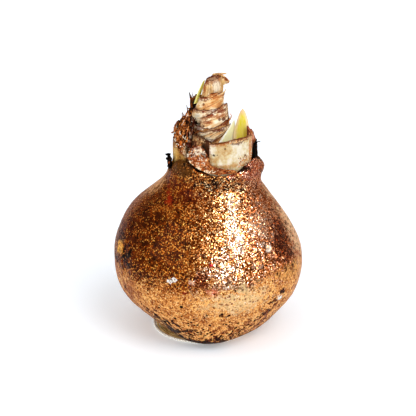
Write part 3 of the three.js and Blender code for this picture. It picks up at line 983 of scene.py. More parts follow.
@dataclass(frozen=True)
class Finish:
    """A surface's material, made once and shared by every piece that has it, and its slot."""

    name: str
    slot: str
    _made: ClassVar[dict[str, bpy.types.Material]] = {}

    def material(self) -> bpy.types.Material:
        """The finish's material.

        Returns:
            The material, built when it is first asked for.
        """
        if self.name not in self._made:
            made = bpy.data.materials.new(self.name)
            made.use_nodes = True
            self.paint(Wiring(made.node_tree), made.node_tree.nodes["Principled BSDF"])
            self._made[self.name] = made
        return self._made[self.name]

    def paint(self, w: Wiring, shader: bpy.types.Node) -> None:
        """Feeds the shader's inputs."""
        raise NotImplementedError


@dataclass(frozen=True)
class Spot:
    """A ragged coloured place: its middle and reach in mm, its colour, and how softly it ends."""

    centre: Point
    reach: Point
    base: Rgb
    strength: float = 0.9
    ragged: float = 1.2
    soft: float = 0.4

    def share(self, points: Array) -> Array:
        """How much of the place is at each point, from 0 to 1."""
        away = np.linalg.norm((points - self.centre) / np.array(self.reach), axis=1)
        return 1 - smoothstep(away + 0.3 * self.ragged * lumps(points, 3.0, 5), 1 - self.soft, 1 + self.soft)

    def mask(self, w: Wiring, place: Socket, wobble: Socket) -> Socket:
        """The same share for a shader, with its strength.

        Args:
            w: The material's nodes.
            place: The shaded point, in metres.
            wobble: A random tone for its rim.

        Returns:
            The share.
        """
        centre, reach = (tuple(c * MM for c in part) for part in (self.centre, self.reach))
        found = w.use(ragged_patch, Place=place, Centre=centre, Reach=reach, Wobble=wobble,
                      Ragged=self.ragged, Soft=self.soft)
        return w.times(found, self.strength) if self.strength < 1 else found


def marks(*rows: tuple) -> tuple[Spot, ...]:
    """Coloured places from rows of their middle, reach, colour, strength and raggedness."""
    return tuple(Spot(*row) for row in rows)


@dataclass(frozen=True)
class Patch(Spot):
    """A place on the wax that differs from the rest.

    fleck is the glitter's colour there, cover how much of it glitter hides, crust how far its lumps
    stand up in mm, and sink how deep it lies.
    """

    fleck: Rgb = (255, 255, 255)
    cover: float = 0.5
    crust: float = 0.0
    sink: float = 0.0


GOLD = (252, 190, 112)
COPPER = (226, 146, 88)
ROSE = (240, 178, 150)
PALE = (255, 232, 205)
# Near-black painted shade, for the hollows, gaps and underside where shadow lies.
PAINTED_SHADE = (18, 8, 5)

# Where the coat differs from its plain brown and gold, in the order in which they lie on each other:
# middle, reach, colour, strength, raggedness and softness, then the glitter's colour and cover, and
# last the crust's height and how deep the place lies.
# Several of these places are painted light: reflections, highlights and shade, as marked below.
PATCHES = tuple(Patch(*row) for row in (
    # painted reflection of the white backdrop, as milky bands down both flanks
    ((-37, 6, 66), (13, 14, 14), (160, 92, 44), 0.85, 1, 0.45, COPPER, 0.3),
    ((-46, -4, 38), (7, 24, 12), (184, 122, 76), 0.6, 1, 0.4, COPPER, 0.3),
    ((43, -21, 38.5), (12, 17, 4.2), (226, 160, 88), 0.85, 1.2, 0.3, GOLD, 0.3),
    ((46, 1, 56), (13, 18, 24), (246, 194, 142), 0.94, 0.9, 0.3, ROSE, 0.16),
    ((38, 5, 72), (12, 12.5, 11), (244, 190, 136), 0.94, 0.9, 0.3, ROSE, 0.16),
    ((47, 2, 24), (15, 20, 16), (222, 158, 112), 0.75, 0.9, 0.4, COPPER, 0.22),
    ((-24, 7, 76.5), (10, 13, 8), (236, 172, 112), 0.9, 0.9, 0.4, COPPER, 0.16),
    # painted reflection: a dark wine-red gap inside the right band, mirroring the dark between the lamp and
    # the backdrop
    ((35.5, -20.5, 53), (7.5, 10, 15), (60, 20, 8), 0.95, 1.4, 0.25, (206, 120, 76), 0.26),
    # painted highlight: white glitter, thickest where the key lamp's gleam falls
    ((13.4, -31, 64), (3.6, 15, 14), (168, 112, 66), 0.9, 2, 0.5, (255, 252, 248), 0.88, 0.2),
    # painted rosy reflection and sparkle beside the tall gleam, with pale painted highlights and a darker
    # place below
    ((26.5, -25, 61), (5.5, 9, 8.5), (150, 92, 62), 0.75, 2, 0.5, (255, 236, 220), 0.72, 0.3),
    ((30.5, -28.5, 52), (1.7, 2.6, 1.1), (244, 226, 208), 1, 1.4, 0.3, PALE, 0.5, 0.3),
    ((25.5, -36.5, 46.5), (2.3, 3, 1.6), (240, 220, 200), 1, 1.6, 0.3, PALE, 0.5, 0.3),
    ((25, -37, 46), (7, 7, 5), (104, 52, 18), 0.8, 1.3, 0.4, (232, 166, 110), 0.42),
    # the clear red spot high on the left
    ((-16.2, -18, 73.6), (1.5, 6.5, 4.2), (158, 40, 12), 0.85, 1.4, 0.5, (240, 150, 60), 0.1),
    ((-11, -22, 77), (9, 9, 3.4), (84, 24, 7), 0.8, 1.6, 0.6, (230, 140, 60), 0.1),
    # rosy crust in the middle
    ((9.5, -45, 45), (9, 8, 9.5), (104, 58, 34), 0.85, 1.8, 0.4, (252, 222, 200), 0.6, 0.55),
    ((13, -44, 39), (8, 6, 3.4), (66, 28, 12), 0.85, 2, 0.45, (240, 204, 176), 0.5, 0.45),
    ((-1.5, -46, 41.5), (5, 6, 3), (62, 18, 8), 0.8, 1.6, 0.45, (200, 110, 64), 0.3, 0.3),
    ((-24, -38, 42), (14, 10, 2.6), (48, 18, 8), 0.75, 2.2, 0.5, (226, 160, 84), 0.34, 0.2),
    # gold crust round the neck
    ((5.5, -23, 83.6), (13, 9, 2.6), (40, 16, 7), 0.9, 1.8, 0.4, (236, 170, 96), 0.5, 0.5),
    ((8, 20, 82), (24, 14, 3.2), (64, 30, 12), 0.8, 1.6, 0.4, (232, 176, 104), 0.55, 0.45),
    ((11, -23, 81), (9, 9, 2.6), (24, 8, 4), 0.95, 2.6, 0.5, (255, 222, 176), 0.34, 0.3),
    # the smooth brown film that climbs the neck's left, and the copper lip at its right
    ((-11.5, -16, 88.6), (8.5, 9, 5), (92, 52, 14), 1, 0.7, 0.25, (190, 140, 84), 0.1),
    # painted shadow under the loose collar's free edge
    ((-5.5, -20.8, 89.8), (6, 4, 1.2), PAINTED_SHADE, 0.95, 1.4, 0.4, PAINTED_SHADE, 0, 0, 0.4),
    ((22, -16, 87), (8, 10, 5), (140, 58, 36), 0.9, 1.6, 0.4, (255, 206, 184), 0.42, 0.7),
    # painted shadow inside the crumpled copper lip
    ((18, -18.5, 87.6), (3.4, 3, 1), PAINTED_SHADE, 1, 1.4, 0.4, PAINTED_SHADE, 0, 0, 1),
    # ochre chunk and dark gaps on the left edge; the gaps' darkness is painted shade
    ((-39.9, -19.4, 47.8), (3.6, 4.4, 3.4), (250, 178, 76), 1, 1.4, 0.2, (255, 206, 120), 0.35, 0.5),
    ((-36.6, -25.4, 44.6), (2.6, 3.6, 7.4), PAINTED_SHADE, 1, 2.6, 0.3, (200, 130, 60), 0.12, 0, 0.5),
    ((-42.4, -14, 41.6), (3, 5, 2.2), PAINTED_SHADE, 1, 2.6, 0.3, (200, 130, 60), 0.12, 0, 0.4),
    ((-40, -16, 53.6), (2.6, 5, 1.6), (44, 18, 7), 0.9, 2.6, 0.3, (200, 130, 60), 0.12),
    # a crack with a white chip, low on the right
    ((33.8, -30.8, 25.8), (3, 3, 1.7), (30, 10, 6), 1, 2.6, 0.4, COPPER, 0.12, 0.4),
    ((37.8, -28.4, 29.6), (1.6, 2.4, 1.5), (30, 10, 6), 1, 2.6, 0.4, COPPER, 0.12),
    ((30, -33, 20), (3.8, 3, 1.2), (34, 12, 7), 1, 3, 0.45, COPPER, 0.12),
    ((36, -29.2, 27), (1.5, 1.9, 1.5), (255, 250, 240), 1, 1.2, 0.3, PALE, 0.1, 0.4),
    # pale painted highlights on small bumps, and red dots
    ((-15.4, -43.2, 41), (1.4, 3, 1), (255, 248, 240), 1, 2.2, 0.25, PALE, 0.1, 0.35),
    ((-13, -43.8, 42), (1.3, 3, 0.8), (255, 248, 240), 1, 2.2, 0.25, PALE, 0.1, 0.35),
    ((-5.6, -45.9, 41.6), (1.7, 3, 1.3), (226, 170, 150), 0.8, 2.4, 0.4, PALE, 0.4, 0.3),
    ((10.8, -45.3, 38.6), (1.3, 3, 0.9), (244, 206, 186), 1, 1.4, 0.3, PALE, 0.2, 0.2),
    ((3.6, -43.8, 49.2), (0.9, 2, 0.7), (180, 24, 44), 1, 0.8, 0.4, (230, 80, 90), 0.2),
    ((4.6, -46.6, 36.8), (2.8, 3, 1.7), (206, 84, 54), 0.9, 2.2, 0.5, (250, 186, 160), 0.4, 0.4),
    ((-8.4, -45.6, 36.6), (1.2, 2, 0.7), (120, 22, 10), 1, 1, 0.4, COPPER, 0.2),
    # a bald, paler place low in the middle
    ((17, -44, 31.5), (15, 9, 5.5), (252, 212, 148), 0.75, 1.6, 0.6, PALE, 0.15),
    # the dark underside that the bulb's own shade never leaves
    ((-2, -33, 3.4), (19, 9, 4.4), PAINTED_SHADE, 0.95, 1.2, 0.25, PAINTED_SHADE, 0),
    ((-17, -29, 8.6), (13, 9, 4.2), PAINTED_SHADE, 0.95, 3, 0.45, PAINTED_SHADE, 0),
    ((-18.5, -31, 12.5), (5.5, 6, 7), PAINTED_SHADE, 0.95, 2.4, 0.35, PAINTED_SHADE, 0),
    ((24, -35, 14), (11, 8, 3.2), (96, 40, 18), 0.7, 3, 0.5, COPPER, 0.1),
    ((-37, -24, 26), (6, 9, 9), (150, 84, 40), 0.75, 2, 0.5, COPPER, 0.2),
    # small holes, painted dark inside as shade
    ((8.7, -43.2, 23.7), (0.8, 2, 1.4), PAINTED_SHADE, 1, 0.8, 0.3, PAINTED_SHADE, 0, 0, 1.1),
    ((-10.3, -44.4, 28.8), (0.9, 2, 0.7), PAINTED_SHADE, 1, 0.8, 0.3, PAINTED_SHADE, 0, 0, 0.9),
    ((-17.2, -33.5, 16), (1.6, 2, 0.7), PAINTED_SHADE, 1, 1.2, 0.3, PAINTED_SHADE, 0, 0, 0.8),
))


@dataclass(frozen=True)
class WaxFinish(Finish):
    """Brown wax over the bulb, full of copper and gold glitter, under a clear gloss.

    bands are the heights in metres where its dark upper part ends and its pale lower part starts.
    Over the wax's own tone, the dark upper part is a painted reflection of the dim ceiling and the pale
    lower part one of the lit floor; the left side is painted darker, in shade, and the right side
    lighter, where the key lamp lights it.
    """

    shaded_left_wax: Rgb = (42, 12, 2)
    shaded_left_warm: Rgb = (88, 33, 4)
    lit_right_wax: Rgb = (64, 21, 3)
    lit_right_warm: Rgb = (118, 52, 9)
    low_dark: Rgb = (112, 46, 17)
    low_wax: Rgb = (196, 120, 56)
    low_pale: Rgb = (236, 180, 104)
    fleck_size: float = 0.6
    dust_size: float = 0.36
    dust_shift: Point = (0.1, 0.2, 0.3)
    reflection_bands: Span = (0.0402, 0.0372)

    def paint(self, w: Wiring, shader: bpy.types.Node) -> None:
        """Feeds the shader: wax under flecks, changed patch by patch, with dark specks low down, and with
        painted reflection, highlight and shade.

        Args:
            w: The material's nodes.
            shader: Its shader.
        """
        place = w.place()
        x, _, z = w.parts(place)
        broad, middle, fine = (w.grain(place, size) for size in (11.0, 3.2, 1.1))
        waver = w.sway(w.between(0.45, broad, middle), 0.012)
        # painted reflection: below these heights the wax is drawn pale, as the lit floor would mirror in it,
        # above them dark
        low = w.rise(w.plus(w.plus(z, waver), w.sway(fine, 0.012)), *self.reflection_bands)
        # painted light: the wax is drawn darker on the left, in shade, and golden on the right, where the key
        # lamp lights it
        lit_rightwards = w.rise(w.plus(x, w.times(broad, 0.014)), -0.026, 0.024)
        high = w.blend(lit_rightwards, w.blend(middle, self.shaded_left_wax, self.shaded_left_warm),
                       w.blend(middle, self.lit_right_wax, self.lit_right_warm))
        tiny = w.grain(place, 0.62, detail=1.0)
        lower = w.ramp(w.between(0.4, w.between(0.5, tiny, fine), middle),
                       (0.3, self.low_dark), (0.48, self.low_wax), (0.74, self.low_pale))
        base = w.blend(low, high, lower)
        # fleck colours: gold on the left, paler and rosier on the right as painted highlight
        fleck = w.blend(w.rise(x, 0.012, 0.026), (252, 206, 148), (250, 196, 164))
        fleck = w.blend(w.rise(x, -0.012, 0.006), (246, 176, 84), fleck)
        fleck = w.blend(low, fleck, (250, 206, 140))
        cover = w.plus(w.between(low, w.between(lit_rightwards, 0.2, 0.5), 0.5), w.sway(middle, 0.36))
        for one in PATCHES:
            mask = one.mask(w, place, middle)
            base = w.blend(mask, base, w.blend(fine, one.base, tint(*one.base, 0.5)))
            fleck = w.blend(mask, fleck, one.fleck)
            cover = w.between(mask, cover, one.cover)
        ground = w.bump(w.between(0.5, middle, fine), 0.5, 0.4)
        near, near_tone, normal = w.use(
            glitter, Place=place, Size=self.fleck_size, Cover=cover, Tilt=0.27, Ground=ground)
        shifted, thin = w.vector("ADD", place, self.dust_shift), w.times(cover, 0.5)
        dust, dust_tone, normal = w.use(
            glitter, Place=shifted, Size=self.dust_size, Cover=thin, Tilt=0.3, Ground=normal)
        metal = w.math("MAXIMUM", near, w.times(dust, 0.7))
        tone = w.between(near, dust_tone, near_tone)
        # painted shade: flecks are drawn darker on the left
        tone = w.between(lit_rightwards, w.times(tone, tone), tone)
        # the flecks' own tones, the brightest painted white as glints
        fleck_tone_and_glint = w.ramp(tone, (0.0, (130, 70, 32)), (0.3, (206, 156, 108)), (0.6, (250, 234, 212)),
                       (0.9, (255, 255, 255)))
        colour = w.blend(metal, base, w.blend(1.0, fleck, fleck_tone_and_glint, "MULTIPLY"))
        pits = w.times(w.use(specks, Place=place, Gap=1.2, Share=w.between(low, 0.42, 0.5), Width=0.46), 0.85)
        # dark specks low down, thickening at the very bottom into painted shade under the bulb
        below = w.rise(w.plus(z, w.times(waver, 1.4)), 0.027, 0.011)
        aside = w.rise(w.math("ABSOLUTE", w.minus(x, 0.009)), 0.01, 0.03, 0.3, 1.0)
        aside = w.math("MAXIMUM", aside, w.rise(z, 0.017, 0.008, 0.0, 0.95))
        rims = w.use(specks, Place=place, Gap=1.5, Share=w.times(below, aside), Width=0.52)
        dark = w.math("MAXIMUM", pits, rims)
        colour = w.blend(rims, w.blend(pits, colour, w.blend(low, (16, 6, 3), (112, 48, 24))), (34, 12, 6))
        metal = w.times(metal, w.minus(1.0, dark))
        w.feed(shader, {
            "Base Color": colour,
            "Metallic": w.times(metal, w.between(low, w.between(lit_rightwards, 0.4, 0.85), 0.25)),
            "Roughness": w.between(metal, w.between(dark, 0.45, 0.9), w.between(tone, 0.4, 0.22)),
            "Normal": normal, "Specular IOR Level": 0.03, "Specular Tint": tint(236, 160, 92),
            "Coat Weight": 0.04, "Coat Roughness": 0.06,
        })


@dataclass(frozen=True)
class WireFinish(Finish):
    """Drawn steel wire; the inner turns and the upper side are filmed with wax that ran down."""

    def paint(self, w: Wiring, shader: bpy.types.Node) -> None:
        """Feeds the shader: near-white wire outside, its pale colour partly painted highlight, and tan wax
        over the inner turns.

        Args:
            w: The material's nodes.
            shader: Its shader.
        """
        place = w.place()
        x, y, _ = w.parts(place)
        away = w.vector("LENGTH", w.vector("MULTIPLY", place, (1.0, 1.0, 0.0)), result="Value")
        way = w.minus(w.math("ARCTAN2", y, x), math.radians(FOOT_START))
        away = w.plus(away, w.times(w.math("FRACT", w.math("DIVIDE", way, math.tau)), TURN_PITCH * MM))
        cloud, draw = w.grain(place, 4.0), w.grain(place, 0.5, detail=1.0)
        film = w.rise(w.plus(away, w.sway(cloud, 0.0006)), 0.0251, 0.0246)
        wax = w.ramp(cloud, (0.0, (150, 110, 56)), (0.5, (206, 170, 104)), (1.0, (232, 204, 146)))
        # the wire's near-white colour is partly its own pale steel and partly a painted highlight along each
        # turn
        w.feed(shader, {
            "Base Color": w.blend(film, w.blend(draw, (226, 218, 198), (255, 252, 244)), wax),
            "Metallic": w.times(w.minus(1.0, film), 0.3),
            "Roughness": w.between(draw, 0.22, 0.36),
        })


class Lie(Enum):
    """Which way a leaf's grain runs."""

    ROUND = (5.0, 5.0, 1.0)
    UPRIGHT = (1.0, 1.0, 8.0)
    EVEN = UNSTRETCHED


@dataclass(frozen=True)
class LeafFinish(Finish):
    """Dry or cut leaf tissue.

    dark, middle and light are its tones from its creases to its ridges, drawn darker in its hollows as
    painted shade; border is the colour of its dried edge and width how far that reaches in mm; spot is
    the colour of its scattered specks; crease is how dark its fine creases are drawn, the brown of a
    dried fold with painted shade in it; contrast is how hard its tones part, slant how steeply its
    grain climbs towards +X, and stains are its coloured places: marks of its own, and a few painted
    shadows in the gaps beside it.
    """

    dark: Rgb
    middle: Rgb
    light: Rgb
    border: Rgb
    width: float = 1.2
    lie: Lie = Lie.EVEN
    grain: float = 0.8
    spot: Rgb = (96, 38, 18)
    spots: float = 0.15
    spot_gap: float = 1.8
    cloud: float = 5.0
    gloss: float = 0.55
    bump: float = 0.3
    crease: float = 0.6
    crease_gap: float = 2.4
    inside: Rgb = (120, 78, 50)
    glow: float = 0.0
    sheen: float = 0.05
    contrast: float = 1.0
    slant: float = 0.0
    stains_and_shadows: tuple[Spot, ...] = ()

    def paint(self, w: Wiring, shader: bpy.types.Node) -> None:
        """Feeds the shader: tissue with painted shade in its hollows, its creases, its marks and painted
        shadows, its dried border and its specks.

        Args:
            w: The material's nodes.
            shader: Its shader.
        """
        place = w.place()
        below, aside = w.kept("edge")
        stand, outer = w.kept("form")
        climb = w.scaled((0.0, 0.0, 1.0), w.times(w.parts(place)[0], self.slant))
        tilted = w.vector("SUBTRACT", place, climb)
        grained = w.grain(tilted, self.grain, self.lie.value)
        cloud, fine = w.grain(place, self.cloud), w.grain(place, 0.7, detail=2.0)
        creased = w.use(creases, Place=tilted, Size=self.crease_gap, Stretch=self.lie.value, Width=0.04)
        tone = w.plus(w.times(grained, 0.34), w.times(cloud, 0.28))
        # painted shade: the tone is darker in the hollows of the leaf's wrinkles and lighter on its ridges
        tone = w.math("ADD", tone, w.times(w.rise(stand, 0.25, 0.75), 0.4), clamp=True)
        low, high = 0.5 - 0.34 / self.contrast, 0.5 + 0.3 / self.contrast
        colour = w.ramp(tone, (low, self.dark), (0.5, self.middle), (high, self.light))
        colour = w.blend(outer, self.inside, colour)
        wobble = w.between(0.5, cloud, fine)
        # the leaf's own marks, and a few painted shadows in gaps beside it
        for stain_or_shadow in self.stains_and_shadows:
            inner = w.blend(grained, tint(*stain_or_shadow.base, 0.65), stain_or_shadow.base)
            colour = w.blend(stain_or_shadow.mask(w, place, wobble), colour, inner)
        # fine creases in a dimmed brown: the dried fold's colour with painted shade in it
        colour = w.blend(w.times(creased, self.crease), colour, tint(*self.border, 0.7))
        dots = w.use(specks, Place=place, Gap=self.spot_gap, Share=self.spots, Width=0.42)
        colour = w.blend(w.times(dots, 0.85), colour, self.spot)
        near = w.times(w.math("MINIMUM", below, w.times(aside, 1.6)), 10.0)
        for width, ragged, share, light in ((2.4, 2.0, 0.6, 1.0), (0.5, 2.4, 0.85, 0.35)):
            dried = w.use(dried_border, Distance=near, Width=self.width * width, Wobble=wobble, Ragged=ragged)
            colour = w.blend(w.times(dried, share), colour, tint(*self.border, light))
        height = w.minus(w.between(0.4, grained, fine), w.times(creased, 0.6))
        w.feed(shader, {
            "Base Color": colour,
            "Roughness": w.between(grained, self.gloss, self.gloss + 0.25),
            "Normal": w.bump(height, 0.7, self.bump),
            "Specular IOR Level": self.sheen,
        })
        if self.glow:
            w.feed(shader, {"Subsurface Weight": self.glow, "Subsurface Radius": (0.004, 0.0025, 0.001),
                            "Subsurface Scale": 1.0})


@dataclass(frozen=True)
class ShootFinish(Finish):
    """A young leaf: bright in the middle, pale along its margins and rosy at its tip."""

    heart: Rgb
    flank: Rgb
    tip: Rgb
    tip_height: float
    tip_reach: float = 4.0

    def paint(self, w: Wiring, shader: bpy.types.Node) -> None:
        """Feeds the shader: veins, pale margins and a rosy tip.

        Args:
            w: The material's nodes.
            shader: Its shader.
        """
        place = w.place()
        vein, cloud = w.grain(place, 0.5, (1.0, 1.0, 18.0)), w.grain(place, 3.5)
        margin = w.rise(w.plus(w.times(w.kept("edge")[1], 10.0), w.times(cloud, 0.2)), 0.4, 0.9)
        colour = w.blend(margin, self.flank, w.blend(w.times(vein, 0.35), self.heart, self.flank))
        high = w.rise(w.plus(w.parts(place)[2], w.sway(cloud, 0.003)),
                      (self.tip_height - self.tip_reach) * MM, self.tip_height * MM)
        w.feed(shader, {
            "Base Color": w.blend(high, colour, self.tip),
            "Roughness": w.between(vein, 0.38, 0.5),
            "Normal": w.bump(vein, 0.4, 0.2),
            "Specular IOR Level": 0.15, "Subsurface Weight": 0.12,
            "Subsurface Radius": (0.004, 0.003, 0.0008), "Subsurface Scale": 1.0,
        })


WAX = WaxFinish("copper wax", "wax")
STEEL = WireFinish("filmed wire", "wire")
CUT_SCALE = LeafFinish(
    "cut scale", "cut_scale", (184, 138, 78), (208, 188, 144), (222, 212, 192), (160, 84, 36), width=0.5,
    grain=1.6, spots=0, cloud=7, gloss=0.42, glow=0.15, crease=0.12, bump=0.15, inside=(206, 164, 104),
    stains_and_shadows=marks(
        ((15.6, -19, 100.2), (4, 3, 1.2), (112, 60, 30), 0.85, 1.8),
        ((18.5, -17.4, 101.6), (5, 3, 0.8), (90, 44, 24), 0.9, 2),
        ((9, -21, 101), (7, 3, 0.5), (120, 64, 34), 0.9, 2),
        ((22.2, -14, 95.6), (1, 1.4, 6), (206, 120, 52), 0.8, 1.4),
        ((20.5, -15.6, 91.6), (3, 3, 2.4), (206, 140, 74), 0.5, 2.6),
        ((10, -21, 89.4), (9, 5, 1), (206, 150, 84), 0.8, 1.8),
        ((5, -21.4, 95.2), (1.3, 1.2, 0.45), (40, 22, 14), 1, 2.4),
        ((10.1, -21, 98.1), (0.36, 1, 0.4), (80, 50, 34), 0.9, 0.8),
        ((3.2, -21.2, 92.2), (1, 2, 2.6), (226, 182, 120), 0.5, 1.8),
    ),
)
OCHRE_SCALE = LeafFinish(
    "ochre scale", "ochre_scale", (170, 112, 44), (208, 156, 78), (226, 188, 112), (110, 54, 20), grain=1.6,
    spots=0.4, spot_gap=1.4, spot=(70, 36, 16), cloud=6, gloss=0.36, glow=0.1, crease=0.25,
)
COLLAR = LeafFinish(
    "collar", "tan_paper", (150, 66, 22), (222, 142, 72), (250, 226, 188), (140, 56, 20), lie=Lie.ROUND,
    width=0.3, spots=0.34, spot_gap=1.2, spot=(96, 26, 12), cloud=2, crease_gap=1.5, contrast=2.4,
    stains_and_shadows=marks(
        ((-3.8, -19.5, 95.8), (6.8, 5, 2.4), (250, 230, 202), 0.95, 1.3),
        ((-6.6, -18.4, 96.6), (3, 4, 0.7), (110, 30, 16), 0.9, 2.6),
        ((0.4, -20.5, 94.2), (3, 4, 0.5), (120, 40, 18), 0.9, 2.6),
        ((-5.5, -19.5, 92.8), (4.6, 4, 1.6), (196, 96, 38), 0.85, 2),
        ((1.5, -22.3, 91.2), (5.5, 4, 1.6), (206, 108, 46), 0.85, 1.8),
        ((8, -22.8, 89), (8, 4, 1.2), (166, 84, 38), 0.85, 1.6),
        ((-3.5, -21, 98.4), (5, 3, 0.6), (120, 46, 24), 0.8, 2),
        ((-7.4, -18.2, 95), (1.6, 2, 2.6), (70, 28, 14), 0.8, 2),
        # painted shadow in the gap by the cut scale's left edge
        ((1.4, -21.8, 97.2), (1.8, 3, 2.2), (36, 18, 10), 0.85, 2),
        ((-9, -16.5, 92.4), (3, 4, 1.6), (222, 132, 66), 0.8, 2.2),
    ),
)
BROWN_PAPER = LeafFinish(
    "brown paper", "brown_paper", (150, 92, 50), (226, 172, 112), (248, 220, 172), (96, 46, 18), grain=1,
    spots=0.35, cloud=3, crease=0.8,
    stains_and_shadows=marks(
        # painted shadow in the gap by the cut scale's left edge
        ((1.6, -15.4, 96.5), (2.6, 3, 5), (12, 8, 6), 0.95, 1.4),
        ((-5, -12, 97), (2.6, 3, 2.6), (206, 120, 96), 0.6, 2),
        ((-7.7, -8.8, 96.6), (1, 1.5, 0.8), (190, 16, 22), 0.95, 1),
        ((-5.6, -11, 98.4), (2, 3, 1.4), (70, 34, 16), 0.8, 2.2),
    ),
)
TAN_PAPER = LeafFinish(
    "tan paper", "tan_paper", (196, 116, 54), (228, 178, 114), (244, 222, 182), (132, 50, 12), lie=Lie.ROUND,
    grain=0.9, width=0.7, spots=0.1, spot_gap=2, cloud=4, crease=0.85, crease_gap=3.2, contrast=1.1,
    slant=0.36, inside=(236, 188, 130),
    stains_and_shadows=marks(
        ((0.8, -4, 118.4), (3.4, 4, 0.9), (124, 50, 20), 0.85, 1.8),
        ((6.4, -5.8, 118.6), (3.4, 3, 0.7), (206, 120, 60), 0.8, 1.8),
        ((3.4, -6.4, 114.6), (5.5, 4, 0.6), (226, 150, 92), 0.7, 2.2),
        ((12.4, -1.6, 107.6), (2, 4, 1.1), (52, 20, 14), 0.95, 1.6),
        ((9.6, -7, 105.6), (4, 3, 0.5), (128, 56, 26), 0.9, 2),
        ((-4.4, -5, 103.4), (4.4, 6, 1.2), (96, 36, 20), 0.8, 3),
        ((-1.5, -8.2, 104.4), (1.6, 3, 0.8), (250, 236, 216), 0.9, 2.4),
        ((3.4, -9.2, 101.6), (3.6, 4, 1.2), (206, 146, 110), 0.7, 2.2),
    ),
)
TIP_PAPER = replace(
    TAN_PAPER, name="tip paper", dark=(186, 118, 56), middle=(218, 174, 112), light=(238, 210, 164),
    lie=Lie.UPRIGHT, slant=0, crease=0.5, crease_gap=1.8, grain=0.7, inside=(244, 216, 170),
    stains_and_shadows=marks(
        ((1.2, -1, 126.2), (1.3, 4, 1.8), (120, 48, 12), 0.85, 1.8),
        # painted shadow in the opening of the rolled tip
        ((4.6, 0.5, 127.2), (1.8, 4, 0.5), (126, 52, 16), 0.8, 2.4),
        ((2.2, 0.5, 128.2), (2, 4, 0.3), (160, 76, 26), 0.7, 2),
        ((0.4, -3, 122.4), (0.7, 3, 3.4), (176, 92, 36), 0.8, 1.8),
        ((6.4, -3.6, 123.4), (2, 3, 3), (248, 232, 204), 0.8, 1.2),
        ((3, -4.4, 121.4), (1.2, 3, 1.6), (214, 170, 116), 0.6, 1.6),
        ((9, -3, 124.4), (0.8, 3, 2.4), (214, 168, 96), 0.7, 1.6),
        ((8.4, -1.4, 128.8), (2.4, 3, 0.5), (206, 126, 50), 0.8, 1.6),
        ((11.4, -2.6, 127.4), (1.6, 2, 1.4), (170, 78, 24), 0.85, 1.4),
    ),
)
PALE_PAPER = replace(
    TAN_PAPER, name="pale paper", slot="pale_paper", dark=(220, 156, 94), middle=(242, 210, 160),
    light=(252, 240, 214), border=(120, 40, 12), spots=0.12, spot_gap=1.9, crease=0.75, crease_gap=3.4,
    inside=(206, 140, 84),
    stains_and_shadows=marks(
        ((-0.1, -6.9, 112), (0.8, 1.4, 0.55), (116, 14, 16), 1, 0.8),
        ((4.1, -8.3, 110.9), (0.9, 1.4, 0.55), (130, 18, 18), 1, 0.8),
        ((6.4, -7.8, 110.2), (6, 4, 0.7), (190, 112, 66), 0.8, 2.2),
        ((8, -6.5, 112.2), (3.4, 3, 0.6), (160, 84, 48), 0.85, 1.8),
        ((9.3, -6.2, 108.3), (1.3, 1.5, 0.9), (116, 64, 38), 0.95, 1.2),
        ((-4.3, -5, 106.3), (2.8, 5, 1), (16, 8, 6), 1, 1.6),
        ((1.5, -8.4, 107.4), (2.4, 3, 0.5), (170, 80, 40), 0.85, 2.2),
        ((0.2, -8, 109.4), (1.2, 2, 2.4), (226, 170, 120), 0.7, 1.8),
        ((7.5, -9.6, 104), (4, 3, 0.6), (104, 44, 26), 0.85, 2),
    ),
)
TUNIC = LeafFinish(
    "fibrous tunic", "tunic", (7, 3, 1), (50, 18, 5), (214, 122, 50), (20, 7, 3), lie=Lie.UPRIGHT, grain=0.6,
    width=0.6, spots=0.1, spot_gap=1.5, spot=(232, 186, 136), cloud=2.2, gloss=0.7, bump=0.5, crease=0.9,
    crease_gap=1.6, contrast=2.2, sheen=0.02,
    stains_and_shadows=marks(
        ((-13.2, -10, 96.5), (2.4, 5, 2.2), (10, 4, 2), 0.9, 2.4),
        ((-10.5, -14.5, 99), (2, 3, 1.6), (196, 92, 32), 0.7, 1.8),
        ((-11.8, -12, 103), (1.2, 3, 2.4), (206, 96, 36), 0.6, 2),
        ((-10.2, -15, 94.6), (2.4, 3, 1.6), (120, 26, 12), 0.8, 1.8),
        ((-8.6, -16.4, 95.6), (1.5, 3, 1.8), (244, 206, 160), 0.85, 2.6),
    ),
)
RUST_TUNIC = LeafFinish(
    "rusty tunic", "tunic", (140, 50, 26), (206, 118, 80), (246, 196, 160), (104, 30, 12), lie=Lie.UPRIGHT,
    grain=0.6, width=0.45, spots=0.25, spot_gap=1.3, spot=(96, 32, 16), cloud=2.6, inside=(226, 170, 136),
    glow=0.1, crease=0.7,
)
FOLDED_SKIN = LeafFinish(
    "folded skin", "tunic", (70, 22, 10), (196, 108, 62), (252, 224, 192), (70, 24, 10), lie=Lie.ROUND,
    grain=0.7, width=0.8, spots=0.4, spot_gap=1.2, spot=(20, 8, 5), cloud=1.8, crease=0.95, crease_gap=1.4,
    inside=(60, 26, 14), contrast=1.8, sheen=0.02,
    stains_and_shadows=marks(
        ((-6.6, -10, 107.4), (2.4, 6, 1.6), (8, 4, 3), 1, 2),
        # painted shadow of the deep slit between the left tunic and the roll
        ((-9.4, -10, 104), (1.2, 6, 7), (8, 4, 3), 1, 1.4),
        ((-8, -12, 97.5), (3, 6, 2), (120, 26, 14), 0.8, 2.2),
    ),
)
RUST_FIBRE = LeafFinish(
    "rust fibre", "tunic", (44, 14, 4), (142, 64, 22), (230, 150, 82), (66, 22, 7), grain=0.7, spots=0.1,
    cloud=2, crease=0.2, contrast=2,
)
PALE_FIBRE = LeafFinish(
    "pale fibre", "pale_paper", (196, 150, 108), (236, 214, 184), (250, 242, 228), (150, 90, 50), grain=0.7,
    spots=0.1, cloud=2, crease=0.1,
)
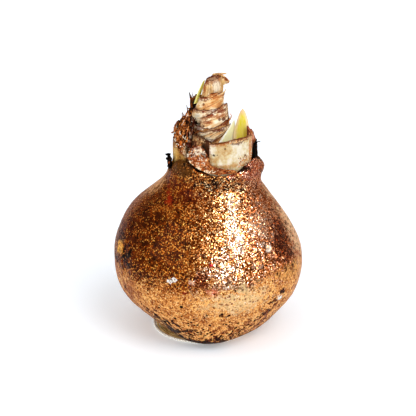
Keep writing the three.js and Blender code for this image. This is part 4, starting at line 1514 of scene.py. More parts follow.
CHARRED = LeafFinish(
    "charred skin", "charred_skin", (2, 2, 1), (7, 4, 3), (40, 20, 10), (6, 3, 2), lie=Lie.UPRIGHT,
    grain=0.6, spots=0.25, spot_gap=1.4, spot=(130, 66, 34), cloud=2.2, gloss=0.7, bump=0.5,
    inside=(14, 8, 5), sheen=0.01,
)
STRIP = LeafFinish(
    "dead strip", "tunic", (8, 5, 3), (26, 13, 7), (110, 62, 30), (176, 98, 40), lie=Lie.UPRIGHT, grain=0.7,
    width=0.9, spots=0.2, spot_gap=1.6, spot=(160, 90, 48), cloud=3, bump=0.5, inside=(30, 18, 12),
)
FLESH = LeafFinish(
    "dried flesh", "flesh", (60, 34, 18), (140, 96, 54), (206, 170, 112), (60, 34, 18), grain=1.2, spots=0.4,
    cloud=3, inside=(120, 84, 50),
)
SHOOT = ShootFinish("young shoot", "young_leaf", (210, 194, 0), (236, 208, 160), (228, 188, 134), 112.4)
SLIM_SHOOT = ShootFinish(
    "slim shoot", "young_leaf", (240, 232, 50), (250, 246, 150), (150, 100, 30), 126.5, 3,
)
SHOOT_WRAP = ShootFinish("shoot wrap", "pale_leaf", (228, 226, 168), (244, 240, 214), (236, 228, 214), 110)


# ---- sub-assemblies


def placed(name: str, data: bpy.types.ID) -> bpy.types.Object:
    """Puts something into the scene.

    Args:
        name: Its name.
        data: Its own mesh, light or camera.

    Returns:
        Its object.
    """
    made = bpy.data.objects.new(name, data)
    bpy.context.scene.collection.objects.link(made)
    return made


@dataclass
class Piece:
    """A piece of the bulb: its name, its closed shape in millimetres and its finish.

    replaces is the solid that it stands for, if there is one. Faces that meet more sharply than the
    crease angle keep a hard edge.
    """

    name: str
    shape: Shape
    finish: Finish
    replaces: str = ""
    crease: float = 50.0

    def hang(self) -> bpy.types.Object:
        """Makes the piece's mesh and hangs it on the bulb's one body.

        Returns:
            Its object.
        """
        shape = self.shape
        mesh = bpy.data.meshes.new(self.name)
        mesh.from_pydata((shape.points * MM).tolist(), [], shape.faces)
        at = np.empty(len(mesh.loops), np.int32)
        mesh.loops.foreach_get("vertex_index", at)
        for label, values in (("edge", np.minimum(shape.edge, 10) / 10), ("form", shape.form)):
            layer = mesh.uv_layers.new(name=label, do_init=False)
            layer.uv.foreach_set("vector", values[at].astype(np.float32).ravel())
        mesh.shade_smooth()
        mesh.set_sharp_from_angle(angle=math.radians(self.crease))
        mesh.materials.append(self.finish.material())
        piece = placed(self.name, mesh)
        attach(piece, "root")
        if self.replaces:
            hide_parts(self.replaces)
        return piece


class Assembly:
    """A group of pieces that belong together."""

    def pieces(self) -> Iterator[Piece]:
        """The pieces, in the order in which they are made."""
        raise NotImplementedError


@dataclass
class WireFoot(Assembly):
    """The flat coil of round wire that the bulb stands on, with its upturned spike."""

    sides: int = 12
    steps: int = 720
    least_radius: float = 1.2
    spike_foot: float = 2.0
    point: int = 6

    def path(self) -> Array:
        """The wire's middle line.

        Returns:
            Its points, from its outer end to the spike's tip.
        """
        turn = np.linspace(0, 1, self.steps) * (CLOSE_TURNS + INWARD_TURN)
        inner = FOOT_RADIUS - TURN_PITCH * CLOSE_TURNS
        inwards = np.clip((turn - CLOSE_TURNS) / INWARD_TURN, 0, 1)
        radius = np.where(turn < CLOSE_TURNS, FOOT_RADIUS - TURN_PITCH * turn, inner * (1 - inwards**1.5))
        a = 2 * np.pi * turn + np.radians(FOOT_START)
        flat = rows_of(radius * np.cos(a), radius * np.sin(a), WIRE / 2)[radius > self.least_radius]
        rise = np.linspace(0, 1, 9)[1:]
        bend = rows_of(*(flat[-1, k] * (1 - rise) ** 2 for k in (0, 1)), WIRE / 2 + 1.4 * rise**2)
        up = rows_of(0, 0, self.spike_foot + (SPIKE_HEIGHT - self.spike_foot) * rise)
        return np.concatenate([flat, bend, up])

    def pieces(self) -> Iterator[Piece]:
        """The wire.

        Returns:
            The one piece.
        """
        path = self.path()
        half = np.full(len(path), WIRE / 2)
        half[-self.point:] *= np.linspace(1, 0.15, self.point)
        steep = unit(np.gradient(path, axis=0))[:, 2:] ** 2
        out = lerp(np.array([0.0, 0.0, 1.0]), np.array([1.0, 0.3, 0.0]), steep)
        yield Piece("wire_coil", strand(path, half, half, self.sides, out), STEEL, "wire_stand")


@dataclass
class WaxCoat(Assembly):
    """The wax over the bulb: a shell with lumps, pits and a crumpled rim, open at the neck."""

    columns: int = 300
    rows: int = 170
    inside_rows: int = 26
    hole: float = 1.05
    fray: float = 0.35
    smooth_below: Span = (6.0, 16.0)
    neck_x: float = 5.6
    fine_steps: int = 3000

    def outline(self) -> Array:
        """The outer outline.

        Returns:
            Radius and height at even steps, from under the bulb to the rim.
        """
        points = np.array(COAT_OUTLINE, float)
        last = len(points) - 1
        t = np.linspace(0, last, self.fine_steps)
        k = np.minimum(np.floor(t).astype(int), last - 1)
        s = (t - k)[:, None]
        p0, p1 = points[np.maximum(k - 1, 0)], points[k]
        p2, p3 = points[np.minimum(k + 1, last)], points[np.minimum(k + 2, last)]
        v0, v1 = (p2 - p0) / 2, (p3 - p1) / 2
        line = (2 * p1 - 2 * p2 + v0 + v1) * s**3 + (-3 * p1 + 3 * p2 - 2 * v0 - v1) * s**2 + v0 * s + p1
        line = line[line[:, 0] >= self.hole]
        length = np.concatenate([[0], np.cumsum(np.linalg.norm(np.diff(line, axis=0), axis=1))])
        at = np.linspace(0, length[-1], self.rows)
        return np.stack([np.interp(at, length, line[:, k]) for k in range(2)], -1)

    def lining(self, outline: Array) -> Array:
        """The inner outline, one wax thickness inside the outer one.

        Args:
            outline: The outer one.

        Returns:
            Radius and height from the rim down.
        """
        some = outline[np.linspace(0, len(outline) - 1, self.inside_rows).astype(int)]
        step = np.gradient(some, axis=0)
        length = np.linalg.norm(step, axis=1)
        depth = COAT_THICKNESS * lerp(1.0, 0.8, smoothstep(some[:, 1], 76, 82))
        moved = rows_of(some[:, 0] - depth * step[:, 1] / length, some[:, 1] + depth * step[:, 0] / length)
        moved[0] = [self.hole, some[0, 1] + COAT_THICKNESS]
        return moved[::-1]

    def relief(self, points: Array) -> Array:
        """How far the coat stands out from its plain form.

        Args:
            points: The plain points, one row each.

        Returns:
            The distance for each, in mm.
        """
        high = smoothstep(points[:, 2], 42, 60)
        low = 1 - smoothstep(points[:, 2], 20, 34)
        height = -0.12 + 0.1 * lumps(points, 13, 2) + 0.07 * lumps(points, 5.5, 3)
        height += lerp(0.1, 0.05, high) * lumps(points, 2.2, 4) + 0.06 * low * lumps(points, 1.5, 8)
        rough = 0.55 * lumps(points, 3.1, 11) + 0.45 * lumps(points, 1.7, 12)
        for place in PATCHES:
            height += place.share(points) * (place.crust * (0.25 + rough) - place.sink)
        crumple = smoothstep(points[:, 2], 80.5, 84)
        turn = np.degrees(np.arctan2(points[:, 1], points[:, 0] - self.neck_x))
        return height + crumple * (0.35 + 0.8 * bell(turn, -36, 26)) * lumps(points, (2.6, 2.6, 3.4), 14)

    def turned(self, outline: Array) -> Array:
        """An outline turned round the bulb.

        Args:
            outline: Its radius and height.

        Returns:
            Its points, ring by ring.
        """
        angle = np.arange(self.columns) * 360 / self.columns - 180
        r, a = np.meshgrid(outline[:, 0], angle, indexing="ij")
        return on_bulb(r, np.repeat(outline[:, 1:], self.columns, axis=1), a, self.fray)

    def pieces(self) -> Iterator[Piece]:
        """The coat.

        Returns:
            The one piece.
        """
        outline = self.outline()
        outer, inner = self.turned(outline), self.turned(self.lining(outline))
        round_step = np.roll(outer, -1, 1) - np.roll(outer, 1, 1)
        normal = unit(np.cross(round_step, np.gradient(outer, axis=0)))
        height = self.relief(outer.reshape(-1, 3)).reshape(outer.shape[:2])
        fade = smoothstep(outline[:, :1], *self.smooth_below)[..., None]
        outer = outer + normal * height[..., None] * fade
        lip = lerp(outer[-1], inner[0], 0.5)[None] + (0, 0, 0.35)
        low, high = (np.array(corner) / MM for corner in CAD_BOX)
        rings = np.clip(np.concatenate([outer, lip, inner]), low, high)
        faces = ring_faces(self.columns, len(rings), turned=True)
        yield Piece("wax_shell", Shape.plain(rings.reshape(-1, 3), faces), WAX, "wax_coat", crease=75)


@dataclass
class BulbFlesh(Assembly):
    """The fleshy bulb: its solid, and the stubs of old scales that ring its cut top."""

    rings: tuple[float, ...] = (6.0, 9.6, 12.4, 14.4, 16.9, 18.2)
    radius: float = 18.3
    middle_x: float = 5.7
    depth: float = 1.5
    columns: int = 120
    rows: int = 64

    def pieces(self) -> Iterator[Piece]:
        """Gives the solid its finish, and makes the ringed top.

        Returns:
            The top.
        """
        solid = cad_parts["bulb_body"]
        solid.data.materials.clear()
        solid.data.materials.append(FLESH.material())
        angle = np.radians(np.arange(self.columns) * 360 / self.columns)
        r, a = np.meshgrid(np.linspace(1, 0.02, self.rows) * self.radius, angle, indexing="ij")
        flat = rows_of(r * np.cos(a), r * np.sin(a), 0)
        wander = 0.7 * lumps(flat, 6.0, 3)
        height = np.zeros_like(r)
        for ring in self.rings:
            height += 1.3 * bell(r + wander, ring, 0.55) * (0.7 + 0.6 * lumps(flat, 3.0, ring))
        height += 0.25 * lumps(flat, 1.3, 5)
        lift = NECK_TOP + 0.25 + np.maximum(height, 0)
        top = rows_of(along(BULB_LEAN, NECK_TOP) + flat[..., 0], flat[..., 1], lift)
        base = NECK_TOP - self.depth
        foot = rows_of(top[:1, :, 0], top[:1, :, 1], base)
        ends = (self.middle_x, 0, base), (self.middle_x, 0, NECK_TOP + 0.4)
        yield Piece("scale_stubs", Shape.tube(np.concatenate([foot, top]), *ends), FLESH)


@dataclass
class OuterScales(Assembly):
    """The thick scales that were cut across, round the outside of the neck."""

    front: Sheet = Sheet(
        start=-98, end=-36.5, foot=SCALE_FOOT,
        top=((0, 100.4), (0.2, 100.8), (0.42, 101.5), (0.6, 102.2), (1, 102.4)),
        radius=((80, 19.95), (86, 20.1), (101, 20.5)), thick=2.1, tear=0.2, teeth=12, seed=3, columns=110,
        rows=60, fray=0.12, thin=0.85, swell=0.35, fibres=0.06, lumps=0.14, lump_gap=5,
    )
    left: Sheet = Sheet(
        start=146, end=228, foot=SCALE_FOOT, top=((0, 93.6), (0.3, 97), (0.5, 98), (0.75, 96.8), (1, 93.6)),
        radius=((80, 20), (98, 20)), thick=1.3, tear=0.3, teeth=9, seed=8, lumps=0.16, lump_gap=4,
    )
    back: Sheet = Sheet(
        start=33, end=141, foot=SCALE_FOOT, top=((0, 94), (0.4, 95.6), (0.8, 95), (1, 94.2)),
        radius=((80, 19.9), (96, 20.1)), thick=1.9, tear=0.3, teeth=14, seed=5, columns=120, rows=44,
        fray=0.15, thin=0.85, swell=0.3, fibres=0.08, lumps=0.18, lump_gap=4.5,
    )
    inner_back: Sheet = Sheet(
        start=10, end=112, top=((0, 95.5), (0.5, 97.4), (1, 97)), radius=((88, 15.6), (98, 15.9)), thick=1.3,
        tear=0.3, teeth=12, seed=15, columns=100, rows=30, thin=0.8, swell=0.2, fibres=0.08, lumps=0.12,
    )
    middle_left: Sheet = Sheet(
        start=205, end=262, top=((0, 99), (0.3, 102.4), (0.7, 101.6), (1, 99.8)),
        radius=((88, 15.2), (98, 15.6), (103, 14.4)), thick=1.1, tear=0.4, teeth=8, seed=21, columns=70,
        rows=44, lumps=0.3, lump_gap=2.6,
    )
    collar: Sheet = Sheet(
        start=233, end=294, foot=((0, 93.2), (0.1, 90.8), (0.15, 90), (0.3, 88.2), (0.52, 86.5), (1, 86.4)),
        top=((0, 94.2), (0.06, 97.4), (0.17, 98.8), (0.3, 98.8), (0.4, 96.7), (0.44, 94.7), (0.48, 91.8),
             (0.535, 90.3), (0.69, 89.1), (0.89, 88), (1, 87.7)),
        radius=((86, 22.6), (92, 22.6), (96, 21.9), (99, 20.7)), thick=0.9, tear=0.15, teeth=22, seed=6,
        ripple=0.08, columns=120, fray=0.2, thin=0.6, rings=0.3, ring_gap=1.3, lumps=0.5, lump_gap=1.7,
    )
    shreds: Tangle = Tangle(
        44, 71, v=(0.1, 1), length=(0.8, 3.4), half=(0.08, 0.24), stand=(0.1, 0.5), heading=0, spread=30,
        curl=50,
    )

    def pieces(self) -> Iterator[Piece]:
        """Makes the scales.

        Returns:
            The scales, with the crumbs and shreds that lie on them.
        """
        yield Piece("cut_scale_front", self.front.shape(), CUT_SCALE, "scale_front")
        yield Piece("cut_scale_back", self.back.shape(), CUT_SCALE, "scale_back")
        yield Piece("cut_scale_inner", self.inner_back.shape(), CUT_SCALE, "scale_inner_back")
        yield Piece("ochre_scale_left", self.left.shape(), OCHRE_SCALE, "scale_left")
        yield Piece("paper_scale", self.middle_left.shape(), BROWN_PAPER, "scale_mid_left")
        yield Piece("loose_collar", self.collar.shape(), COLLAR, "collar_scale")
        for name, sheet, count, place, size, finish in (
            ("collar_crumbs", self.collar, 46, ((0.42, 1.0), (0.7, 1.0)), (0.16, 0.42), RUST_FIBRE),
            ("collar_char", self.collar, 60, ((0.0, 1.0), (0.1, 1.0)), (0.14, 0.36), CHARRED),
            ("collar_pale_crumbs", self.collar, 44, ((0.0, 0.4), (0.3, 1.0)), (0.16, 0.46), PALE_FIBRE),
            ("rim_crumbs", self.front, 60, ((0.6, 1.0), (0.34, 0.62)), (0.14, 0.4), RUST_FIBRE),
            ("rim_pale_crumbs", self.front, 36, ((0.55, 1.0), (0.38, 0.66)), (0.14, 0.4), PALE_FIBRE),
            ("lump_crumbs", self.front, 34, ((0.36, 0.78), (0.93, 0.985)), (0.2, 0.5), BROWN_PAPER),
        ):
            yield Piece(name, crumbs(sheet, count, place, size), finish)
        yield Piece("collar_shreds", self.shreds.over(self.collar), RUST_FIBRE)


@dataclass
class DryTunics(Assembly):
    """What is left of the dry outer skins, with their loose fibres and crumbs."""

    left: Sheet = Sheet(
        start=((0, 203), (0.5, 199), (1, 190)), end=((0, 231), (0.5, 229), (1, 222)),
        foot=((0, 100.4), (0.3, 97.2), (0.7, 94), (1, 92.2)),
        top=((0, 104.2), (0.2, 106.4), (0.45, 109), (0.8, 112.2), (1, 111.8)),
        radius=((92, 21.5), (97, 21.4), (99, 20.9), (101, 20.2), (104, 19), (108, 17.2), (114, 14.2)),
        thick=0.9, tear=1.5, teeth=11, seed=7, ripple=0.12, columns=110, rows=70, fray=0.7, thin=0.4,
        fibres=0.3, fibre_gap=0.9, lumps=0.25, lump_gap=2.4,
    )
    right: Sheet = Sheet(
        start=-37, end=26, top=((0, 106.6), (0.18, 104), (0.36, 101.4), (0.58, 97.8), (1, 95.6)),
        radius=((88, 18.2), (98, 18.6), (107, 18.2)), tear=0.4, teeth=11, seed=9, ripple=0.06, rows=56,
        fray=0.35, fibres=0.16, lumps=0.2, lump_gap=2.6,
    )
    back: Sheet = Sheet(
        start=98, end=((0, 140), (0.55, 141), (0.8, 148), (1, 166)),
        top=((0, 108), (0.45, 115.6), (0.72, 116.4), (0.88, 114.9), (1, 119.3)), axis=ROLL,
        radius=((88, 13), (104, 12.2), (112, 10.6), (119, 9.6)), tear=0.5, teeth=9, seed=11, columns=80,
        rows=70, fray=0.5, thin=0.4, fibres=0.22, lumps=0.18,
    )
    skin: Sheet = Sheet(
        start=-27, end=29, foot=SCALE_FOOT, top=((0, 97.4), (0.3, 96.2), (0.6, 95.8), (1, 93.6)),
        radius=19.85, tear=0.8, teeth=10, seed=14, ripple=0.06, columns=80, rows=50, fray=0.6, thin=0.4,
        fibres=0.2, lumps=0.25, lump_gap=2,
    )
    flake: Sheet = Sheet(
        start=168, end=200, foot=((0, 84.4), (0.5, 83.2), (1, 84.6)),
        top=((0, 87.8), (0.5, 88.8), (1, 88.2)), radius=((84, 22.1), (90, 22.8)), thick=1.5, tear=0.6,
        teeth=7, seed=17, columns=60, rows=26, fray=0.4, lumps=0.5, lump_gap=1.7,
    )
    lining: Sheet = Sheet(
        start=184, end=229, foot=96, top=((0, 103), (0.4, 107.4), (0.75, 110.2), (1, 107.5)),
        radius=((92, 17.4), (100, 17), (106, 15.6), (111, 13.4)), thick=0.7, tear=0.8, teeth=9, seed=19,
        columns=60, fray=0.5, fibres=0.25, lumps=0.25, lump_gap=2,
    )
    dark_fibres: Tangle = Tangle(90, 41, v=(0, 0.9), length=(2, 6), half=(0.18, 0.42), stand=(0.1, 0.5))
    rust_fibres: Tangle = Tangle(
        46, 43, length=(1.5, 5), half=(0.1, 0.26), stand=(0.3, 1.1), spread=45, curl=90,
    )
    pale_fibres: Tangle = Tangle(
        26, 47, length=(0.6, 2.2), half=(0.08, 0.18), stand=(0.5, 1.1), spread=60, curl=60,
    )
    right_fibres: Tangle = Tangle(
        24, 53, v=(0.4, 0.9), length=(1, 2.6), half=(0.12, 0.3), stand=(0.1, 0.25), spread=50,
    )
    spikes: tuple[tuple[Point, Point, float], ...] = (
        ((-5.7, 6.2, 111), (-6.8, 6, 118.2), 0.95), ((-7.6, 0, 107.4), (-8, 1.4, 113.2), 0.62),
        ((-8.8, -2, 106), (-10, -1.6, 110.4), 0.5), ((-11.4, -4, 103.4), (-12.8, -3.6, 106.8), 0.5),
        ((-13, -5, 100.2), (-14.4, -4.4, 103), 0.45),
    )
    flick: Path = ((24.9, -6.6, 94.6), (25.2, -7.2, 96.6), (25.7, -7.8, 97.7), (26.9, -8.8, 98.1))
    clods: tuple[tuple[Point, float, int], ...] = (
        ((-16.4, -8, 89.2), 1.7, 3), ((-15.6, -9, 87.4), 1.5, 4), ((-16.6, -7.4, 91.4), 1.2, 6),
        ((-15.2, -9.6, 85.8), 1.2, 8),
    )
    dangle: Path = ((-12.6, -6, 103.2), (-13.6, -5.6, 103), (-14.4, -5.2, 101.9))

    def pieces(self) -> Iterator[Piece]:
        """Makes the tunics.

        Returns:
            The tunics, their fibres and the charred scraps.
        """
        yield Piece("tunic_left_skin", self.left.shape(), TUNIC, "tunic_left")
        yield Piece("tunic_lining", self.lining.shape(), FOLDED_SKIN)
        dark = [self.dark_fibres.over(self.left), shred(self.dangle, (0.3, 0.16), (0.3, 0.16), 9, 5),
                crumb((-14.7, -5, 101.4), 0.85, 5)]
        for foot, tip, half in self.spikes:
            bent = tuple(lerp(np.array(foot), np.array(tip), 0.55) + 0.25)
            path = smooth_path((foot, bent, tip), 8)
            dark.append(strand(path, half * np.linspace(1.2, 0.2, 8), half * np.linspace(0.7, 0.2, 8)))
        yield Piece("tunic_fibres", Shape.merged(dark), TUNIC)
        yield Piece("tunic_rust_fibres", self.rust_fibres.over(self.left), RUST_FIBRE)
        yield Piece("tunic_pale_fibres", self.pale_fibres.over(self.left), PALE_FIBRE)
        yield Piece("tunic_right_fibres", self.right_fibres.over(self.right), RUST_FIBRE)
        yield Piece("tunic_right_skin", self.right.shape(), RUST_TUNIC, "tunic_right")
        yield Piece("tunic_back_strip", self.back.shape(), STRIP, "tunic_back")
        burnt = Shape.merged([self.skin.shape(), shred(self.flick, (0.5, 0.14), (0.3, 0.12))])
        yield Piece("charred_skin_right", burnt, CHARRED, "skin_right")
        chunk = Shape.merged([self.flake.shape(), *(crumb(*clod) for clod in self.clods)])
        yield Piece("charred_flake", chunk, CHARRED, "flake_left")


# What the roll's whole sheaths have in common.
SHEATH = Sheet(top=0, radius=0, axis=ROLL, crowd=1.9, columns=130, rows=70, fray=0.35, thin=0.4)


@dataclass
class SheathRoll(Assembly):
    """The tall roll of papery sheaths in the middle of the neck."""

    wrap: Sheet = Sheet(
        start=160, end=((0, 240), (0.4, 262), (0.575, 278), (0.78, 302), (0.9, 326), (1, 334)),
        top=((0, 100.4), (0.3, 102.2), (0.6, 103.8), (1, 106.2)), axis=ROLL,
        radius=((88, 9.3), (97, 10), (101, 10.5), (106, 11)), thick=0.9, tear=0.25, teeth=10, seed=23,
        flare=0.15, ripple=0.05, columns=130, rows=70, rings=0.2, ring_gap=1.8, lumps=0.12,
    )
    low: Sheet = replace(
        SHEATH,
        top=((0, 106.6), (0.12, 105.8), (0.25, 104.8), (0.4, 107.6), (0.5, 108.2), (0.75, 106), (1, 106.6)),
        radius=((88, 7.9), (99, 8.7), (104, 9.3), (108, 9.5)), tear=0.3, teeth=14, seed=25, flare=-0.1,
        rings=0.22, ring_gap=1.5, lumps=0.2, lump_gap=3.4,
    )
    middle: Sheet = replace(
        SHEATH,
        top=((0, 112), (0.12, 112.7), (0.25, 113.2), (0.38, 114), (0.5, 113.4), (0.75, 111.4), (1, 112)),
        radius=((88, 6.8), (101, 7.6), (107, 8.3), (110, 8.1), (113, 7.5)), tear=0.3, teeth=13, seed=27,
        flare=-0.15, rings=0.16, ring_gap=1.7, lumps=0.2, lump_gap=3.6,
    )
    upper: Sheet = replace(
        SHEATH,
        top=((0, 117.2), (0.12, 118), (0.25, 120.4), (0.38, 120.4), (0.5, 119.6), (0.75, 118.6), (1, 117.2)),
        radius=((88, 5.6), (104, 6.5), (110, 6.9), (113, 6.4), (116, 5.8), (120, 5.7)), tear=0.35, teeth=12,
        seed=29, flare=-0.15, ripple=0.05, columns=120, fray=0.4, rings=0.11, ring_gap=1.4, lumps=0.2,
        lump_gap=3.2,
    )
    top: Sheet = replace(
        SHEATH, top=((0, 125), (0.25, 126.6), (0.5, 128.4), (0.75, 127.9), (1, 125)),
        radius=((88, 4.2), (110, 4.5), (118, 4.6), (122, 4.5), (125.5, 3.9), (129, 2.9)), flat=0.25,
        tear=0.25, teeth=12, seed=31, core=121, columns=110, rows=80, fibres=0.12, fibre_gap=1.3, lumps=0.14,
        thin=0.5, fray=0.25,
    )
    sash: Sheet = Sheet(
        start=-120, end=24, foot=((0, 103.5), (0.4, 103), (1, 104)), axis=ROLL,
        top=((0, 108.9), (0.13, 110.7), (0.26, 112.3), (0.41, 113.3), (0.5, 114.9), (0.62, 115.2),
             (1, 113.6)),
        radius=((100, 8.9), (106, 9.1), (109, 8.95), (112, 8.5), (116, 7.5)), thick=0.36, tear=0.25,
        teeth=13, seed=33, flare=-0.1, columns=110, rows=50, fray=0.3, thin=0.6, rings=0.16, ring_gap=1.3,
        lumps=0.12, lump_gap=2.4,
    )
    scraps: Tangle = Tangle(
        46, 61, u=(0, 0.36), v=(0.66, 1), length=(1, 4), half=(0.1, 0.3), stand=(0.1, 0.6), heading=20,
        spread=40, curl=70,
    )
    pale_scraps: Tangle = Tangle(
        30, 63, u=(0, 0.4), v=(0.66, 1), length=(0.8, 2.6), half=(0.1, 0.3), stand=(0.2, 0.8),
        heading=20, spread=50, curl=60,
    )
    flap_corners: Path = ((6.9, -0.5, 129.1), (12.2, -2.5, 126.2), (12, -3, 125), (8.6, -2.4, 123.6))
    strip: Path = ((4.2, -0.9, 128.5), (6.6, -1.2, 128.95), (9, -1.4, 129.05), (10.9, -1.5, 129.1))
    fold: Path = ((7.2, -1.5, 128.9), (9.4, -2.3, 128.2), (11, -2.8, 127), (12.4, -3.1, 125.6))
    curl: Path = ((7, -4.6, 119.4), (8.6, -4.2, 120), (10, -3.6, 120.9), (10.6, -3.2, 122.3))
    notch: Path = ((11.2, -5.4, 106.8), (12.6, -5.2, 108), (13.2, -4.8, 109.6), (12.6, -4.6, 110.6))

    def flap(self, columns: int = 26, rows: int = 20) -> Shape:
        """The dry leaf tip that folds over to the right of the uppermost sheath.

        Args:
            columns: How many squares wide it is.
            rows: How many squares high it is.

        Returns:
            The closed shape.
        """
        i, j = np.meshgrid(np.arange(columns + 1), np.arange(rows + 1))
        u, v = i.ravel() / columns, j.ravel() / rows
        corners = np.array(self.flap_corners, float)
        low = lerp(corners[3], corners[2], u[:, None])
        high = lerp(corners[0], corners[1], u[:, None])
        middle = lerp(low, high, v[:, None])
        crown = 0.9 * np.sin(np.pi * u) * np.sin(np.pi * v) + 0.12 * lumps(middle, 1.2, 3)
        points = np.concatenate([middle + rows_of(0.05 * side, -crown - 0.2 * side, 0) for side in (1, -1)])
        edge = rows_of(np.minimum(1 - v, v + 0.35) * 5, np.minimum(1 - u, u + 0.6) * 4)
        form = rows_of(0.5 + 0.4 * lumps(middle, 1.5, 5), 1)
        return Shape(points, slab_faces(columns, rows), np.tile(edge, (2, 1)), np.tile(form, (2, 1)))

    def pieces(self) -> Iterator[Piece]:
        """Makes the roll.

        Returns:
            The sheaths from the outermost in, with the folded tip and the loose scraps.
        """
        yield Piece("roll_wrap", self.wrap.shape(), PALE_PAPER, "sheath_wrap")
        yield Piece("roll_low", self.low.shape(), TAN_PAPER, "sheath_low")
        yield Piece("roll_middle", self.middle.shape(), PALE_PAPER, "sheath_middle")
        yield Piece("roll_upper", self.upper.shape(), TAN_PAPER, "sheath_upper")
        yield Piece("roll_top", self.top.shape(), TIP_PAPER, "sheath_top")
        yield Piece("roll_sash", self.sash.shape(), PALE_PAPER)
        tip = [self.flap()]
        for path, wide in ((self.strip, 0.5), (self.fold, 0.5), (self.curl, 0.42)):
            width = wide * np.array([0.5, 0.9, 1, 1, 1, 0.9, 0.9, 0.8, 0.6, 0.4])
            tip.append(strand(smooth_path(path, len(width)), width, width * 0.5))
        yield Piece("roll_tip", Shape.merged(tip), TIP_PAPER)
        dark = [self.scraps.over(self.wrap), shred(self.notch, (0.7, 0.2), (0.3, 0.1))]
        yield Piece("roll_scraps", Shape.merged(dark), RUST_FIBRE)
        yield Piece("roll_pale_scraps", self.pale_scraps.over(self.wrap), PALE_FIBRE)


@dataclass(frozen=True)
class Blade:
    """A young leaf with an oval section that comes to a blunt point.

    x and y are its middle line, half and deep half its width and depth, each by height; turn is the
    way its flat side faces.
    """

    foot: float
    tip: float
    x: Table
    y: Table
    half: Table
    deep: Table
    turn: float
    columns: int = 48
    rows: int = 60

    def shape(self) -> Shape:
        """Makes the blade, faintly ribbed.

        Returns:
            The closed shape.
        """
        v = np.linspace(0, 1, self.rows)
        z = lerp(self.foot, self.tip, 1 - (1 - v) ** 1.4)
        z, around = np.meshgrid(z, 2 * np.pi * np.arange(self.columns) / self.columns, indexing="ij")
        across = along(self.half, z) * np.cos(around)
        out = along(self.deep, z) * np.sin(around) * (1 + 0.02 * np.cos(around * 14))
        a = math.radians(self.turn)
        rings = rows_of(along(self.x, z) + across * math.cos(a) - out * math.sin(a),
                        along(self.y, z) + across * math.sin(a) + out * math.cos(a), z)
        blade = Shape.tube(rings, *((level(self.x, h), level(self.y, h), h) for h in (self.foot, self.tip)))
        blade.edge[:, 1] = np.append(np.sin(around) ** 2, [1, 1])
        blade.form[:] = 0.5
        return blade


@dataclass
class Shoots(Assembly):
    """The young leaves that are starting out of the neck."""

    right: Blade = Blade(
        foot=SEAT, tip=113.4, x=((88, 17.4), (98, 17.9), (106, 18.35), (113, 18.5)),
        y=((88, -7.4), (113, -6.6)),
        half=((88, 3.4), (98, 4), (102.6, 3.7), (106, 3), (109.5, 2.1), (112, 1.15), (113.4, 0.2)),
        deep=((88, 1.8), (100, 1.8), (109, 1.4), (113.4, 0.2)), turn=-4,
    )
    wrap: Blade = Blade(
        foot=SEAT, tip=107.6, x=((88, 10), (97, 10.4), (102, 12.5), (105, 13.8), (107.6, 14.5)),
        y=((88, -7.8), (97, -7.9), (102, -6.8), (108, -5)),
        half=((88, 3.7), (97, 3.9), (102, 2.6), (105, 1.5), (107.6, 0.2)),
        deep=((88, 0.8), (100, 0.7), (107.6, 0.15)), turn=30,
    )
    left: Blade = Blade(
        foot=113.6, tip=125.3, x=((110, -4.6), (114, -3.3), (119, -1.7), (123, -0.3), (125.3, 0.5)),
        y=((110, 4.6), (119, 3.2), (125.3, 2)), half=((110, 2.4), (119, 2.2), (123.5, 1.5), (125.3, 0.2)),
        deep=((110, 0.6), (119, 0.6), (125.3, 0.15)), turn=66,
    )

    def pieces(self) -> Iterator[Piece]:
        """Makes the young leaves.

        Returns:
            The three leaves.
        """
        yield Piece("shoot_right_leaf", self.right.shape(), SHOOT, "shoot_right")
        yield Piece("shoot_right_wrap", self.wrap.shape(), SHOOT_WRAP, "shoot_wrap")
        yield Piece("shoot_left_leaf", self.left.shape(), SLIM_SHOOT, "shoot_left")


# ---- the studio


@dataclass(frozen=True)
class Lamp:
    """A light: the direction in which it stands from the bulb, and its strength."""

    name: str
    azimuth: float
    elevation: float
    power: float

    def lit(self, kind: str) -> tuple[bpy.types.Object, Vector]:
        """Makes a light that faces the bulb.

        Args:
            kind: Blender's kind of light.

        Returns:
            The light, and the direction in which it stands.
        """
        light = placed(self.name, bpy.data.lights.new(self.name, kind))
        light.data.energy = self.power
        a, e = math.radians(self.azimuth), math.radians(self.elevation)
        away = Vector((math.cos(e) * math.cos(a), math.cos(e) * math.sin(a), math.sin(e)))
        light.rotation_euler = away.to_track_quat("Z", "Y").to_euler()
        return light, away


@dataclass(frozen=True)
class Softbox(Lamp):
    """A soft light at a distance and of a size in metres; it may light nothing but gleams."""

    distance: float
    size: Span
    only_gleam: bool = False
    aim: Point = (0.0, 0.0, 0.06)

    def build(self) -> None:
        """Makes the light in its place."""
        light, away = self.lit("AREA")
        light.data.shape = "RECTANGLE"
        light.data.size, light.data.size_y = self.size
        light.location = Vector(self.aim) + away * self.distance
        light.visible_diffuse = not self.only_gleam


@dataclass(frozen=True)
class Overhead(Lamp):
    """A broad light from far away that lights the floor evenly and leaves no gleam of its own."""

    spread: float

    def build(self) -> None:
        """Makes the light."""
        light, _ = self.lit("SUN")
        light.data.angle = math.radians(self.spread)
        light.visible_glossy = False


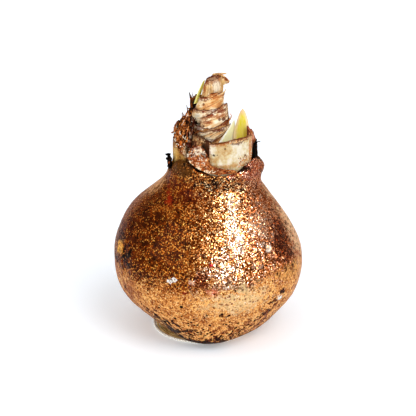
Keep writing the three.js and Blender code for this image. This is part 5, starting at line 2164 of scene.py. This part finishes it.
@dataclass
class Studio:
    """A pale floor, soft lights, a white horizon under a dim ceiling, and the camera."""

    target: Point = (2.2, 0.0, 61.5)
    elevation: float = 20.0
    distance: float = 566.2
    lens: float = 100.0
    sensor: float = 36.0
    floor_half: float = 12.0
    floor_glow: float = 0.19
    lights: tuple[Union[Softbox, Overhead], ...] = (
        Softbox("key strip", -38, 38, 28.0, 1.0, (0.11, 0.62), True),
        Softbox("left glints", -138, 36, 4.0, 1.0, (0.7, 0.7), True),
        Softbox("right front", -60, 35, 2.7, 1.2, (0.7, 0.7)),
        Overhead("white ceiling", 0, 90, 0.3, 70),
        Overhead("soft sun", -50, 48, 1.1, 36),
        Overhead("haze", 0, 90, 1.45, 170),
        Overhead("front fill", -112, 14, 0.7, 50),
        Overhead("left fill", -162, 24, 0.6, 60),
    )

    def camera(self) -> None:
        """Makes the camera and gives it to the scene."""
        camera = placed("camera", bpy.data.cameras.new("camera"))
        camera.data.lens, camera.data.sensor_width = self.lens, self.sensor
        camera.data.clip_start, camera.data.clip_end = 0.01, 50
        e = math.radians(self.elevation)
        back = Vector((0, -math.cos(e), math.sin(e)))
        camera.location = (Vector(self.target) + back * self.distance) * MM
        camera.rotation_euler = back.to_track_quat("Z", "Y").to_euler()
        bpy.context.scene.camera = camera

    def floor(self) -> None:
        """Makes the floor, which isn't part of the bulb."""
        mesh = bpy.data.meshes.new("floor")
        near, far = -self.floor_half, self.floor_half
        mesh.from_pydata([(near, near, 0), (far, near, 0), (far, far, 0), (near, far, 0)], [], [(0, 1, 2, 3)])
        material = bpy.data.materials.new("floor")
        material.use_nodes = True
        Wiring(material.node_tree).feed(material.node_tree.nodes["Principled BSDF"], {
            "Base Color": (0.88, 0.92, 0.97, 1), "Emission Color": (0.97, 0.99, 1.0, 1),
            "Emission Strength": self.floor_glow, "Roughness": 0.6, "Specular IOR Level": 0.2,
        })
        mesh.materials.append(material)
        placed("floor", mesh)

    def world(self) -> None:
        """Makes the surroundings: white below and at the horizon, dim above, white behind the bulb."""
        world = bpy.data.worlds.new("studio")
        world.use_nodes = True
        w = Wiring(world.node_tree)
        height = w.parts(w.add("ShaderNodeTexCoord").outputs["Generated"])[2]
        glow = w.rise(height, 0.15, 0.03, 0.1, 0.25)
        seen = w.add("ShaderNodeLightPath").outputs["Is Camera Ray"]
        w.feed(world.node_tree.nodes["Background"],
               {"Color": (1.0, 1.0, 1.0, 1.0), "Strength": w.between(seen, glow, 1.0)})
        bpy.context.scene.world = world

    def build(self) -> None:
        """Sets the whole studio up."""
        self.camera()
        self.floor()
        self.world()
        for light in self.lights:
            light.build()
        bpy.context.scene.view_settings.view_transform = "Standard"


def main() -> None:
    """Builds the bulb from its foot to its tip, then the studio, and notes how big it came out."""
    logging.basicConfig(level=logging.INFO, format="%(message)s")
    for assembly in (WireFoot(), WaxCoat(), BulbFlesh(), OuterScales(), DryTunics(), SheathRoll(), Shoots()):
        for piece in assembly.pieces():
            made = piece.hang()
            LOG.info("%s: %d faces, %s", made.name, len(made.data.polygons), piece.finish.name)
    Studio().build()


if __name__ == "__main__":
    main()
